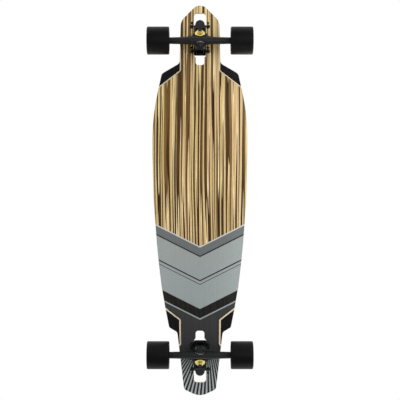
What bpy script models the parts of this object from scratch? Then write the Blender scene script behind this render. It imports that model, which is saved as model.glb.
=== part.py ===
"""Drop-through longboard: a wooden deck, grip tape, two reverse-kingpin trucks and four wheels.

Metres, +Z up, +Y towards the nose, +X to the rider's right. The floor under the wheels is Z = 0
and the middle of the deck's length is Y = 0.
"""

import math

import bmesh
import bpy
from mathutils import Matrix, Vector

MM = 0.001
GAP = 0.3 * MM  # room left between pieces that touch
BEYOND = 5 * MM  # how far a cutter runs past what it cuts

# Deck: half width, place along the board and corner radius of each corner of the right-hand edge
DECK_EDGE = [
    (0, 509.5, 23),  # nose tip
    (49.6, 460.5, 32),
    (52.6, 352, 12),
    (98.6, 325.5, 14),  # front shoulder
    (122.3, 219, 530),
    (122.2, 3, 2300),
    (100.2, -221.6, 1150),
    (79.3, -326.5, 9),  # rear shoulder
    (58.5, -338.5, 10),
    (41.2, -485.2, 12),
    (0, -504, 40),  # tail tip
]
DECK_BOTTOM = 76.4 * MM
DECK_THICKNESS = 11 * MM
DECK_TOP = DECK_BOTTOM + DECK_THICKNESS
FLAT_HALF = 60 * MM  # the pressed profile is flat this far each side of the middle
RAIL_HALF = 120 * MM
RAIL_RISE = 6 * MM  # how far the pressed profile has risen at RAIL_HALF
PRESS_STRIPS = 4  # flat strips that make each side's rise

# Truck slots in the deck, measured from the middle of each truck's bolt pattern
SLOT_HALF_LENGTH = 66.5 * MM
SLOT_HALF_WIDTH = 15.5 * MM
TONGUE_HALF_WIDTH = 11.2 * MM
TONGUE_LENGTH = 19 * MM
SHOULDER_LENGTH = 5 * MM
SLOT_ROUND = 8 * MM
SLOT_CORNER = 1 * MM

# Wheel wells carved in the underside: the line where each starts, as half width and place
FRONT_WELL = [(108, 287), (48.7, 332), (49.3, 396), (56, 402)]
REAR_WELL = [(90, -273.8), (49.0, -305.2), (48.2, -369), (57, -381)]
WELL_DEPTH = 3 * MM

GRIP_THICKNESS = 1 * MM
GRIP_INSET = 0.9 * MM
GRIP_SLOT_INSET = 0.4 * MM
GRIP_BOTTOM = DECK_TOP + GAP
GRIP_TOP = GRIP_BOTTOM + GRIP_THICKNESS
MEDALLION_RADIUS = 57 * MM
MEDALLION_THICKNESS = 1.7 * MM
MEDALLION_Y = 8.5 * MM

# Bolt pattern
BOLT_ACROSS = 41.28 * MM
BOLT_ALONG = 63.5 * MM
SPARE_HOLE_STEP = 9.5 * MM
BOLT_HOLE_RADIUS = 2.8 * MM
BOLT_RADIUS = 2.4 * MM
BOLT_HEAD_RADIUS = 4.9 * MM
BOLT_HEAD_HEIGHT = 2.8 * MM
SOCKET_RADIUS = 2.7 * MM
SOCKET_DEPTH = 1.8 * MM
LOCK_NUT_RADIUS = 5.4 * MM
LOCK_NUT_HEIGHT = 5 * MM

# Trucks: places are in the truck's own frame, with its origin in the middle of the axle,
# Y away from the middle of the board and Z up
NOSE_TRUCK_Y = 413.5 * MM
TAIL_TRUCK_Y = -401 * MM
AXLE_INBOARD = 11 * MM  # from the middle of the bolt pattern
WHEEL_RADIUS = 35 * MM
STEER_ANGLE = math.radians(47)  # of the steering axis above the level
STEER = Vector((0, math.cos(STEER_ANGLE), math.sin(STEER_ANGLE)))
KINGPIN = Vector((0, math.sin(STEER_ANGLE), -math.cos(STEER_ANGLE)))
RING_CENTRE = Vector((0, 9.4, 20.4)) * MM
AXLE_FOOT = RING_CENTRE + STEER * (-RING_CENTRE).dot(STEER)  # nearest point of the axis to the axle

# Stack on the kingpin, as heights along it from the middle of the hanger's ring
RING_HALF_THICKNESS = 6.5 * MM
RING_RADIUS = 21 * MM
RING_HOLE = 8.5 * MM
RING_SEAT = 3.7 * MM
BUSHING_RADIUS = 12 * MM
BUSHING_HOLE = 5.3 * MM
BOARD_BUSHING = (-15.6 * MM, -RING_SEAT - GAP)
ROAD_BUSHING = (RING_SEAT + GAP, 14.6 * MM)
WASHER_RADIUS = 12.9 * MM
WASHER_THICKNESS = 1.8 * MM
WASHER_LIP = 1.6 * MM
SEAT = BOARD_BUSHING[0] - WASHER_THICKNESS - 2 * GAP
SEAT_RADIUS = 14.5 * MM
SEAT_THICKNESS = 8 * MM
KINGPIN_RADIUS = 4.75 * MM
KINGPIN_END = 26.5 * MM
KINGPIN_HEAD_RADIUS = 8.1 * MM
KINGPIN_HEAD_HEIGHT = 6 * MM
KINGPIN_HEAD_ROOM = 9.4 * MM  # radius of the pocket in the baseplate that the head sits in
KINGPIN_NUT_RADIUS = 8.2 * MM
KINGPIN_NUT_HEIGHT = 7 * MM

# Pivot, as depths along the steering axis from the point nearest the axle
CUP_LIP = 10.4 * MM
CUP_LIP_RADIUS = 12.6 * MM
CUP_LIP_THICKNESS = 1.6 * MM
CUP_RADIUS = 10 * MM
CUP_BOTTOM = 20.2 * MM
NOSE_RADIUS = 6.6 * MM
NOSE_TIP = 18.3 * MM
HOUSING_RADIUS = 13 * MM
HOUSING_BOTTOM = 24 * MM

# Baseplate
FLANGE_TOP = 60 * MM
FLANGE_THICKNESS = 6 * MM
FLANGE_HALF_WIDTH = 29.3 * MM
FLANGE_HALF_LENGTH = 38.4 * MM
FLANGE_ROUND = 8.5 * MM
BODY_HALF_WIDTH = 14.9 * MM
LEG_HALF_WIDTH = 13.4 * MM
POCKET_HALF_WIDTH = 10.4 * MM
BOSS_RADIUS = 12.3 * MM
BOSS_Y = 49.5 * MM
BOSS_HEIGHT = 10 * MM
BOSS_DROP = 0.8 * MM  # how far the boss is below the top of the flange
GROOVE_HALF_WIDTH = 2.6 * MM
GROOVE_DEPTH = 2.2 * MM
GROOVE_LENGTH = 40 * MM
GROOVE_START = 6 * MM  # from the spare hole
LEG_RECESS_HALF_WIDTH = 8.6 * MM
BLOCK_RECESS_HALF_WIDTH = 11.4 * MM
UNDER_FLANGE = 40 * MM  # a height between the flange and the axle, where its bores start

# Side profiles of the baseplate as (y, z): the block through the deck, the leg that holds the
# pivot cup, the pocket open at the top, and the recesses in the leg and under the block
BLOCK = [(46, 56), (46, 44.5), (41, 41.6), (-29.6, 41.6), (-29.6, 56)]
LEG = [
    (4.5, 43),
    (-13.9, 22.3),
    (-15.6, 14.6),
    (-23.4, 5.6),
    (-20, 1),
    (-26.5, -7.5),
    (-29.6, -3),
    (-29.6, 43),
]
POCKET = [(42, 65), (42, 50), (8, 49.5), (0, 48.3), (-19.1, 27.9), (-20.5, 20), (-25.5, 18), (-25.5, 65)]
LEG_RECESS = [(-35, 38), (-27, 34), (-27, -20), (-35, -20)]
BLOCK_RECESS = [(13, 36), (13, 45), (17, 46), (37, 46), (39.5, 36)]

# Hanger: radii and places of one half of the tube, and the yoke's outline as (x, distance from
# the axle towards the ring)
TUBE = [(16, 10), (42, 9.2), (88.4, 8), (90.4, 7.4)]
YOKE = [(-52, -3), (52, -3), (52, 4), (22, 22), (17, 28), (-17, 28), (-22, 22), (-52, 4)]
YOKE_HALF_THICKNESS = 6.5 * MM
# Room round a bushing in the hanger's ring, as radii and heights above the middle of the ring
BUSHING_ROOM = [(12.6, 3.7), (12.6, 5), (15, 7), (15, 30), (0, 30)]

# Hanger, axle and wheels, along X
HANGER_HALF = 90.4 * MM
AXLE_RADIUS = 4 * MM
AXLE_HALF = 126.5 * MM
WHEEL_X = 105.5 * MM
WHEEL_WIDTH = 56 * MM
BEARING_RADIUS = 11 * MM
BEARING_WIDTH = 7 * MM
BEARING_BORE = 4.4 * MM
INNER_BEARING_X = 92 * MM
SPACER_LENGTH = 10 * MM
SPACER_RADIUS = 5.2 * MM
AXLE_NUT_RADIUS = 7.5 * MM
AXLE_NUT_HEIGHT = 6.4 * MM

MATERIALS = {
    "veneer": ((0.55, 0.40, 0.24), 0.45, 0.0),
    "grip": ((0.045, 0.052, 0.060), 0.95, 0.0),
    "golden_wood": ((0.66, 0.42, 0.12), 0.45, 0.0),
    "black_casting": ((0.020, 0.020, 0.022), 0.42, 0.4),
    "urethane": ((0.018, 0.018, 0.020), 0.5, 0.0),
    "bushing_urethane": ((0.03, 0.03, 0.03), 0.5, 0.0),
    "cup_urethane": ((0.72, 0.72, 0.70), 0.5, 0.0),
    "brass": ((0.78, 0.66, 0.24), 0.3, 1.0),
    "steel": ((0.62, 0.62, 0.63), 0.3, 1.0),
    "black_steel": ((0.03, 0.03, 0.03), 0.4, 0.8),
}


def clear_scene():
    for old in list(bpy.data.objects):
        bpy.data.objects.remove(old)


def make_material(name):
    colour, roughness, metallic = MATERIALS[name]
    made = bpy.data.materials.get(name) or bpy.data.materials.new(name)
    made.use_nodes = True
    shader = made.node_tree.nodes["Principled BSDF"]
    shader.inputs["Base Color"].default_value = (*colour, 1)
    shader.inputs["Roughness"].default_value = roughness
    shader.inputs["Metallic"].default_value = metallic
    made.diffuse_color = (*colour, 1)
    return made


def in_mm(points):
    return [tuple(value * MM for value in point) for point in points]


def pointing(direction, origin=(0, 0, 0)):
    """The frame whose Z is this direction and whose X stays across the board."""
    third = Vector(direction).normalized()
    first = Vector((1, 0, 0))
    second = third.cross(first)
    turn = Matrix((first, second, third)).transposed()
    return Matrix.Translation(origin) @ turn.to_4x4()


ACROSS = Matrix.Rotation(math.radians(90), 4, "Y")  # turns Z into X
ON_KINGPIN = pointing(KINGPIN, RING_CENTRE)
IN_PIVOT = pointing(-STEER, AXLE_FOOT)


def mesh_from(bm, place=None):
    if place is not None:
        bmesh.ops.transform(bm, matrix=place, verts=bm.verts)
    bmesh.ops.recalc_face_normals(bm, faces=bm.faces)
    mesh = bpy.data.meshes.new("shape")
    bm.to_mesh(mesh)
    bm.free()
    return mesh


def turned(profile, sides, place=None, phase=0.0):
    """A solid turned about Z from (radius, height) points, closed on the axis or on itself."""
    bm = bmesh.new()
    points = [
        bm.verts.new((radius * math.cos(phase), radius * math.sin(phase), height))
        for radius, height in profile
    ]
    edges = [bm.edges.new(pair) for pair in zip(points, points[1:])]
    if profile[0][0] > 0:
        edges.append(bm.edges.new((points[-1], points[0])))
    bmesh.ops.spin(
        bm, geom=points + edges, cent=(0, 0, 0), axis=(0, 0, 1), angle=math.tau, steps=sides, use_merge=True
    )
    bmesh.ops.remove_doubles(bm, verts=bm.verts, dist=1e-6)
    return mesh_from(bm, place)


def rod(radius, low, high, sides, place=None, phase=0.0):
    profile = [(0, low), (radius, low), (radius, high), (0, high)]
    return turned(profile, sides, place, phase)


def ring(inner, outer, low, high, sides, place=None, phase=0.0):
    profile = [(inner, low), (outer, low), (outer, high), (inner, high)]
    return turned(profile, sides, place, phase)


def prism(outline, low, high, place=None):
    """A flat outline of (x, y) points raised from one height to another."""
    bm = bmesh.new()
    face = bm.faces.new([bm.verts.new((x, y, low)) for x, y in outline])
    raised = bmesh.ops.extrude_face_region(bm, geom=[face])["geom"]
    moved = [item for item in raised if isinstance(item, bmesh.types.BMVert)]
    bmesh.ops.translate(bm, vec=(0, 0, high - low), verts=moved)
    return mesh_from(bm, place)


def slab(profile, half_width, place=None):
    """A side profile of (y, z) points, as thick across the board as two half widths."""
    bm = bmesh.new()
    face = bm.faces.new([bm.verts.new((-half_width, y, z)) for y, z in profile])
    raised = bmesh.ops.extrude_face_region(bm, geom=[face])["geom"]
    moved = [item for item in raised if isinstance(item, bmesh.types.BMVert)]
    bmesh.ops.translate(bm, vec=(2 * half_width, 0, 0), verts=moved)
    return mesh_from(bm, place)


def rounded(corners, closed=False, arc_step=math.radians(18)):
    """The points along straight runs through (x, y, radius) corners, each rounded to its radius."""
    points = []
    for index, (x, y, radius) in enumerate(corners):
        here = Vector((x, y))
        at_end = index in (0, len(corners) - 1)
        if radius == 0 or (at_end and not closed):
            points.append(here)
            continue
        before = Vector(corners[index - 1][:2]) - here
        after = Vector(corners[(index + 1) % len(corners)][:2]) - here
        before.normalize()
        after.normalize()
        half = before.angle(after) / 2
        centre = here + (before + after).normalized() * radius / math.sin(half)
        reach = radius / math.tan(half)
        first = here + before * reach - centre
        turn = first.angle_signed(here + after * reach - centre)
        steps = max(2, math.ceil(abs(turn) / arc_step))
        for step in range(steps + 1):
            points.append(centre + Matrix.Rotation(-turn * step / steps, 2) @ first)
    return [tuple(point) for point in points]


def combined(body, joined=(), kept_inside=(), cut=()):
    """One mesh made of a body and the shapes joined to it, less the shapes that cut it."""
    base = bpy.data.objects.new("body", body)
    helpers = [base]
    bpy.context.collection.objects.link(base)
    for operation, shapes in (("UNION", joined), ("INTERSECT", kept_inside), ("DIFFERENCE", cut)):
        for shape in shapes:
            helper = bpy.data.objects.new("cutter", shape)
            helper.hide_render = True
            helper.display_type = "WIRE"
            bpy.context.collection.objects.link(helper)
            helpers.append(helper)
            modifier = base.modifiers.new("combine", "BOOLEAN")
            modifier.solver = "EXACT"
            modifier.operation = operation
            modifier.object = helper
    bpy.context.view_layer.update()
    made = bpy.data.meshes.new_from_object(base.evaluated_get(bpy.context.evaluated_depsgraph_get()))
    for helper in helpers:
        bpy.data.objects.remove(helper)
    return made


def add_piece(name, mesh, material, parent=None, place=None):
    """A named piece, shaded smooth between sharp edges."""
    piece = bpy.data.objects.new(name, mesh)
    bpy.context.collection.objects.link(piece)
    mesh.shade_smooth()
    mesh.set_sharp_from_angle(angle=math.radians(35))
    mesh.materials.clear()
    mesh.materials.append(make_material(material))
    piece.parent = parent
    if place is not None:
        piece.matrix_local = place
    return piece


def add_empty(name, parent=None, place=None):
    empty = bpy.data.objects.new(name, None)
    empty.empty_display_size = 0.02
    bpy.context.collection.objects.link(empty)
    empty.parent = parent
    if place is not None:
        empty.matrix_local = place
    return empty


def truck_centres():
    """Each truck's name, the middle of its bolt pattern, and +1 or -1 for the way it faces."""
    return (("nose", NOSE_TRUCK_Y, 1), ("tail", TAIL_TRUCK_Y, -1))


def pressed_rise(x):
    """How far the moulded profile has risen at this distance from the middle."""
    beyond = max(0.0, abs(x) - FLAT_HALF) / (RAIL_HALF - FLAT_HALF)
    return RAIL_RISE * beyond**2


def deck_outline(inset=0.0):
    """The deck's closed outline, moved in by the inset."""
    corners = in_mm(DECK_EDGE)
    left = [(-x, y, radius) for x, y, radius in reversed(corners[1:-1])]
    points = [Vector(point) for point in rounded(corners + left, True, math.radians(10))]
    moved = []
    for index, point in enumerate(points):
        along = (points[(index + 1) % len(points)] - points[index - 1]).normalized()
        moved.append((point.x + along.y * inset, point.y - along.x * inset))
    return moved


def pressed_sheet(outline, low, high):
    """A sheet moulded to the pressed profile between two heights, then cut to an outline."""
    strip = (RAIL_HALF - FLAT_HALF) / PRESS_STRIPS
    strips_past_rail = 2
    right = [FLAT_HALF + strip * step for step in range(PRESS_STRIPS + strips_past_rail)]
    across = [-x for x in reversed(right)] + right
    section = [(x, low + pressed_rise(x)) for x in across]
    section += [(x, high + pressed_rise(x)) for x in reversed(across)]
    past_end = 600 * MM
    along_board = Matrix.Rotation(math.radians(90), 4, "X")
    moulded = prism(section, -past_end, past_end, along_board)
    blank = prism(outline, low - BEYOND, high + RAIL_RISE + BEYOND)
    return combined(moulded, kept_inside=[blank])


def slot_outline(centre, facing, more=0.0):
    """The outline of the cut-out that a truck drops through, wider all round by a little more."""
    wide = SLOT_HALF_WIDTH + more
    narrow = TONGUE_HALF_WIDTH + more
    length = SLOT_HALF_LENGTH + more
    right = [
        (wide, length, SLOT_ROUND),
        (wide, -length + TONGUE_LENGTH + SHOULDER_LENGTH, SLOT_CORNER),
        (narrow, -length + TONGUE_LENGTH, SLOT_CORNER),
        (narrow, -length, SLOT_ROUND - SLOT_CORNER),
    ]
    corners = right + [(-x, y, r) for x, y, r in reversed(right)]
    return [(x, centre + facing * y) for x, y in rounded(corners, True, math.radians(24))]


def bolt_places():
    """(x, y) of a truck's four bolts, from the middle of its pattern."""
    for side in (-1, 1):
        for end in (-1, 1):
            yield side * BOLT_ACROSS / 2, end * BOLT_ALONG / 2


def deck_holes():
    """Cutters for the bolt holes in use and for the spare row outboard of each."""
    for _, centre, facing in truck_centres():
        for x, y in bolt_places():
            for spare in (0, SPARE_HOLE_STEP):
                place = Matrix.Translation((x, centre + facing * (y + spare), 0))
                yield rod(BOLT_HOLE_RADIUS, DECK_BOTTOM - BEYOND, DECK_TOP + BEYOND, 8, place)


def well_cutter(line, side):
    """A carved wheel well, from the given line out past the edge, as deep all over."""
    outer = RAIL_HALF + BEYOND
    points = in_mm(line)
    points += [(outer, points[-1][1]), (outer, points[0][1])]
    outline = [(side * x, y) for x, y in points]
    return pressed_sheet(outline, DECK_BOTTOM - BEYOND, DECK_BOTTOM + WELL_DEPTH)


def add_deck():
    cutters = [
        prism(slot_outline(centre, facing), DECK_BOTTOM - BEYOND, DECK_TOP + BEYOND)
        for _, centre, facing in truck_centres()
    ]
    cutters += list(deck_holes())
    cutters += [well_cutter(line, side) for line in (FRONT_WELL, REAR_WELL) for side in (-1, 1)]
    board = pressed_sheet(deck_outline(), DECK_BOTTOM, DECK_TOP)
    add_piece("deck", combined(board, cut=cutters), "veneer")


def add_grip_tape():
    low = GRIP_BOTTOM - BEYOND
    high = GRIP_TOP + BEYOND
    cutters = []
    for _, centre, facing in truck_centres():
        cutters.append(prism(slot_outline(centre, facing, GRIP_SLOT_INSET), low, high))
        for x, y in bolt_places():
            cutters.append(rod(BOLT_HOLE_RADIUS, low, high, 8, Matrix.Translation((x, centre + y, 0))))
    hole = Matrix.Translation((0, MEDALLION_Y, 0))
    cutters.append(rod(MEDALLION_RADIUS + 2 * GAP, low, high, 48, hole))
    sheet = pressed_sheet(deck_outline(GRIP_INSET), GRIP_BOTTOM, GRIP_TOP)
    add_piece("grip_tape", combined(sheet, cut=cutters), "grip")


def add_medallion():
    low = GRIP_BOTTOM
    high = low + MEDALLION_THICKNESS
    bevel = 0.5 * MM
    profile = [
        (0, low),
        (MEDALLION_RADIUS, low),
        (MEDALLION_RADIUS, high - bevel),
        (MEDALLION_RADIUS - bevel, high),
        (0, high),
    ]
    place = Matrix.Translation((0, MEDALLION_Y, 0))
    add_piece("medallion", turned(profile, 48), "golden_wood", place=place)


def baseplate_flange():
    """The plate on top of the deck, with its round boss at the outboard end."""
    corners = [
        (side * FLANGE_HALF_WIDTH, end * FLANGE_HALF_LENGTH, FLANGE_ROUND)
        for side, end in ((1, 1), (1, -1), (-1, -1), (-1, 1))
    ]
    outline = rounded(corners, True, math.radians(30))
    centre = Matrix.Translation((0, AXLE_INBOARD, 0))
    return prism(outline, FLANGE_TOP - FLANGE_THICKNESS, FLANGE_TOP, centre)


def flange_cuts():
    """Bolt holes in use, the spare pair, and the long groove beside each."""
    top = FLANGE_TOP + BEYOND
    cuts = []
    for x, y in bolt_places():
        place = Matrix.Translation((x, AXLE_INBOARD + y, 0))
        cuts.append(rod(BOLT_HOLE_RADIUS, UNDER_FLANGE, top, 8, place))
    spare_y = AXLE_INBOARD + BOLT_ALONG / 2 - SPARE_HOLE_STEP
    for side in (-1, 1):
        x = side * BOLT_ACROSS / 2
        cuts.append(rod(BOLT_HOLE_RADIUS, UNDER_FLANGE, top, 8, Matrix.Translation((x, spare_y, 0))))
        left = x - GROOVE_HALF_WIDTH
        right = x + GROOVE_HALF_WIDTH
        far = spare_y - GROOVE_LENGTH
        near = spare_y - GROOVE_START
        outline = [(left, far), (right, far), (right, near), (left, near)]
        cuts.append(prism(outline, FLANGE_TOP - GROOVE_DEPTH, top))
    return cuts


def baseplate_cuts():
    """The pocket and recesses that lighten the casting, and the seats of kingpin and cup."""
    seat_floor = SEAT - SEAT_THICKNESS
    return [
        slab(in_mm(POCKET), POCKET_HALF_WIDTH),
        slab(in_mm(LEG_RECESS), LEG_RECESS_HALF_WIDTH),
        slab(in_mm(BLOCK_RECESS), BLOCK_RECESS_HALF_WIDTH),
        rod(KINGPIN_HEAD_ROOM, seat_floor - 2 * BEYOND, seat_floor, 16, ON_KINGPIN),
        rod(BUSHING_HOLE, seat_floor - BEYOND, SEAT + BEYOND, 12, ON_KINGPIN),
        rod(CUP_RADIUS + GAP, CUP_LIP - BEYOND, CUP_BOTTOM + GAP, 20, IN_PIVOT),
    ]


def cup_housing():
    """The round housing behind the pivot cup's lip, tapered at its back."""
    lip = CUP_LIP + CUP_LIP_THICKNESS + GAP
    straight = 6 * MM
    back_radius = 8 * MM
    profile = [
        (0, lip),
        (HOUSING_RADIUS, lip),
        (HOUSING_RADIUS, lip + straight),
        (back_radius, HOUSING_BOTTOM),
        (0, HOUSING_BOTTOM),
    ]
    return turned(profile, 20, IN_PIVOT)


def baseplate_mesh():
    """Flange, block through the deck, kingpin seat and the leg that holds the pivot cup."""
    boss_place = Matrix.Translation((0, BOSS_Y, 0))
    joined = [
        slab(in_mm(BLOCK), BODY_HALF_WIDTH),
        slab(in_mm(LEG), LEG_HALF_WIDTH),
        rod(SEAT_RADIUS, SEAT - SEAT_THICKNESS - 2 * MM, SEAT, 20, ON_KINGPIN),
        cup_housing(),
        rod(BOSS_RADIUS, FLANGE_TOP - BOSS_HEIGHT, FLANGE_TOP - BOSS_DROP, 20, boss_place),
    ]
    return combined(baseplate_flange(), joined, cut=flange_cuts() + baseplate_cuts())


def hanger_nose():
    """The part of the hanger that tapers into the pivot cup."""
    root = -3 * MM
    root_radius = 9.5 * MM
    neck = 6 * MM
    neck_radius = 9 * MM
    straight_end = CUP_LIP + 4 * MM
    tip_bevel = 1.6 * MM
    profile = [
        (0, root),
        (root_radius, root),
        (neck_radius, neck),
        (NOSE_RADIUS, CUP_LIP - GAP),
        (NOSE_RADIUS, straight_end),
        (0.75 * NOSE_RADIUS, NOSE_TIP - tip_bevel),
        (0, NOSE_TIP),
    ]
    return turned(profile, 16, IN_PIVOT)


def hanger_mesh():
    """Cross tube, yoke, ring round the kingpin and nose for the pivot cup."""
    right = [(radius, x) for x, radius in in_mm(TUBE)]
    left = [(radius, -x) for radius, x in reversed(right)]
    tube = [(0, -HANGER_HALF)] + left + right + [(0, HANGER_HALF)]
    yoke = prism(in_mm(YOKE), -YOKE_HALF_THICKNESS, YOKE_HALF_THICKNESS, yoke_frame())
    cuts = [rod(RING_HOLE, -2 * RING_HALF_THICKNESS, 2 * RING_HALF_THICKNESS, 20, ON_KINGPIN)]
    for side in (-1, 1):
        room = [(radius, side * height) for radius, height in [(0, RING_SEAT)] + in_mm(BUSHING_ROOM)]
        cuts.append(turned(room, 20, ON_KINGPIN))
    cuts.append(rod(AXLE_RADIUS + GAP, -HANGER_HALF - BEYOND, HANGER_HALF + BEYOND, 16, ACROSS))
    ring_body = rod(RING_RADIUS, -RING_HALF_THICKNESS, RING_HALF_THICKNESS, 28, ON_KINGPIN)
    return combined(turned(tube, 16, ACROSS), [yoke, ring_body, hanger_nose()], cut=cuts)


def yoke_frame():
    """The frame of the yoke's plate: X across, Y from the axle to the ring, Z square to it."""
    first = Vector((1, 0, 0))
    third = first.cross(RING_CENTRE).normalized()
    return Matrix((first, third.cross(first), third)).transposed().to_4x4()


def bushing_mesh(low, high):
    waist = 0.6 * MM
    middle = (low + high) / 2
    profile = [
        (BUSHING_HOLE, low),
        (BUSHING_RADIUS - waist, low),
        (BUSHING_RADIUS, middle),
        (BUSHING_RADIUS - waist, high),
        (BUSHING_HOLE, high),
    ]
    return turned(profile, 20, ON_KINGPIN)


def washer_mesh(face, side):
    """A cupped washer whose face is against a bushing, with its lip towards the bushing."""
    back = face + side * WASHER_THICKNESS
    lip = face - side * WASHER_LIP
    profile = [
        (BUSHING_HOLE, face),
        (BUSHING_RADIUS + GAP, face),
        (BUSHING_RADIUS + GAP, lip),
        (WASHER_RADIUS, lip),
        (WASHER_RADIUS, back - side * 0.6 * MM),
        (WASHER_RADIUS - 1 * MM, back),
        (BUSHING_HOLE, back),
    ]
    return turned(profile, 20, ON_KINGPIN)


def kingpin_mesh():
    head = SEAT - SEAT_THICKNESS - GAP
    shank = rod(KINGPIN_RADIUS, head - 1 * MM, KINGPIN_END, 12, ON_KINGPIN)
    bolt_head = rod(KINGPIN_HEAD_RADIUS, head - KINGPIN_HEAD_HEIGHT, head, 6, ON_KINGPIN)
    return combined(shank, [bolt_head])


def kingpin_nut_mesh():
    low = ROAD_BUSHING[1] + WASHER_THICKNESS + 2 * GAP
    inner = (KINGPIN_RADIUS + GAP) / math.cos(math.pi / 6)
    return ring(inner, KINGPIN_NUT_RADIUS, low, low + KINGPIN_NUT_HEIGHT, 6, ON_KINGPIN)


def pivot_cup_mesh():
    """A lipped cup of urethane, open towards the hanger's nose."""
    inner = NOSE_RADIUS + 0.4 * MM
    back = CUP_LIP + CUP_LIP_THICKNESS
    profile = [
        (0, NOSE_TIP + 0.6 * MM),
        (0.8 * inner, NOSE_TIP - 0.9 * MM),
        (inner, CUP_LIP + 4.6 * MM),
        (inner, CUP_LIP),
        (CUP_LIP_RADIUS, CUP_LIP),
        (CUP_LIP_RADIUS, back),
        (CUP_RADIUS, back),
        (CUP_RADIUS, CUP_BOTTOM),
        (0, CUP_BOTTOM),
    ]
    return turned(profile, 20, IN_PIVOT)


def bolt_mesh():
    """A mounting bolt with a socket head, from the flange down past the lock nut."""
    head = FLANGE_TOP + GAP
    end = DECK_BOTTOM - WHEEL_RADIUS - LOCK_NUT_HEIGHT - 1.8 * MM
    rim = 0.8 * MM
    profile = [
        (0, end),
        (BOLT_RADIUS, end),
        (BOLT_RADIUS, head),
        (BOLT_HEAD_RADIUS, head),
        (BOLT_HEAD_RADIUS, head + BOLT_HEAD_HEIGHT - rim),
        (BOLT_HEAD_RADIUS - rim, head + BOLT_HEAD_HEIGHT),
        (0, head + BOLT_HEAD_HEIGHT),
    ]
    top = head + BOLT_HEAD_HEIGHT
    socket = rod(SOCKET_RADIUS, top - SOCKET_DEPTH, top + BEYOND, 6)
    return combined(turned(profile, 12), cut=[socket])


def lock_nut_mesh():
    high = DECK_BOTTOM - WHEEL_RADIUS - GAP
    inner = (BOLT_RADIUS + GAP) / math.cos(math.pi / 6)
    return ring(inner, LOCK_NUT_RADIUS, high - LOCK_NUT_HEIGHT, high, 6)


def wheel_mesh():
    """A urethane wheel about X, hollowed at both sides, with a seat for each bearing."""
    sides = 24
    tread = WHEEL_RADIUS / math.cos(math.pi / sides)  # a flat of the tread rests on the floor
    chamfer = 1.6 * MM
    lip = tread - chamfer
    hub = 17 * MM
    mouth = 25 * MM
    seat = BEARING_RADIUS + GAP
    web = 9.2 * MM
    inner_face = WHEEL_X - WHEEL_WIDTH / 2
    outer_face = WHEEL_X + WHEEL_WIDTH / 2
    first_stop = INNER_BEARING_X + BEARING_WIDTH + GAP
    second_stop = first_stop + SPACER_LENGTH - 2 * GAP
    hub_end = second_stop + BEARING_WIDTH + GAP + 1 * MM
    profile = [
        (seat, INNER_BEARING_X - 1 * MM),
        (hub, INNER_BEARING_X - 2 * MM),
        (mouth, inner_face),
        (lip, inner_face),
        (tread, inner_face + chamfer),
        (tread, outer_face - chamfer),
        (lip, outer_face),
        (mouth, outer_face),
        (hub, hub_end + 1 * MM),
        (seat, hub_end),
        (seat, second_stop),
        (web, second_stop),
        (web, first_stop),
        (seat, first_stop),
    ]
    return turned(profile, sides, ACROSS, math.pi / sides)


def across_ring(inner, outer, low, length, sides):
    """A ring about the axle, from one place along X for a length."""
    return ring(inner, outer, low, low + length, sides, ACROSS)


def add_truck(name, centre, facing):
    """One truck with its bolts, its hanger on the steering axis and its two wheels."""
    turn = Matrix.Rotation(0 if facing > 0 else math.pi, 4, "Z")
    origin = Matrix.Translation((0, centre - facing * AXLE_INBOARD, WHEEL_RADIUS)) @ turn
    truck = add_empty(f"{name}_truck", place=origin)
    add_piece(f"{name}_baseplate", baseplate_mesh(), "black_casting", truck)
    add_piece(f"{name}_kingpin", kingpin_mesh(), "black_steel", truck)
    add_piece(f"{name}_kingpin_nut", kingpin_nut_mesh(), "brass", truck)
    add_piece(f"{name}_washer_board", washer_mesh(BOARD_BUSHING[0] - GAP, -1), "brass", truck)
    add_piece(f"{name}_washer_road", washer_mesh(ROAD_BUSHING[1] + GAP, 1), "brass", truck)
    add_piece(f"{name}_bushing_board", bushing_mesh(*BOARD_BUSHING), "bushing_urethane", truck)
    add_piece(f"{name}_bushing_road", bushing_mesh(*ROAD_BUSHING), "bushing_urethane", truck)
    add_piece(f"{name}_pivot_cup", pivot_cup_mesh(), "cup_urethane", truck)
    for index, (x, y) in enumerate(bolt_places()):
        place = Matrix.Translation((x, AXLE_INBOARD + y, 0))
        add_piece(f"{name}_bolt_{index + 1}", bolt_mesh(), "steel", truck, place)
        add_piece(f"{name}_lock_nut_{index + 1}", lock_nut_mesh(), "black_steel", truck, place)
    steering = pointing(STEER, AXLE_FOOT)
    hanger_parent = add_empty(f"{name}_steering", truck, steering)
    unsteered = steering.inverted()
    add_piece(f"{name}_hanger", hanger_mesh(), "black_casting", hanger_parent, unsteered)
    axle = rod(AXLE_RADIUS, -AXLE_HALF, AXLE_HALF, 12, ACROSS)
    add_piece(f"{name}_axle", axle, "steel", hanger_parent, unsteered)
    for side in (-1, 1):
        # a wheel keeps its side of the board, whichever way its truck faces
        label = f"{name}_{'right' if side * facing > 0 else 'left'}"
        add_wheel(label, hanger_parent, unsteered, side)


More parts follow.
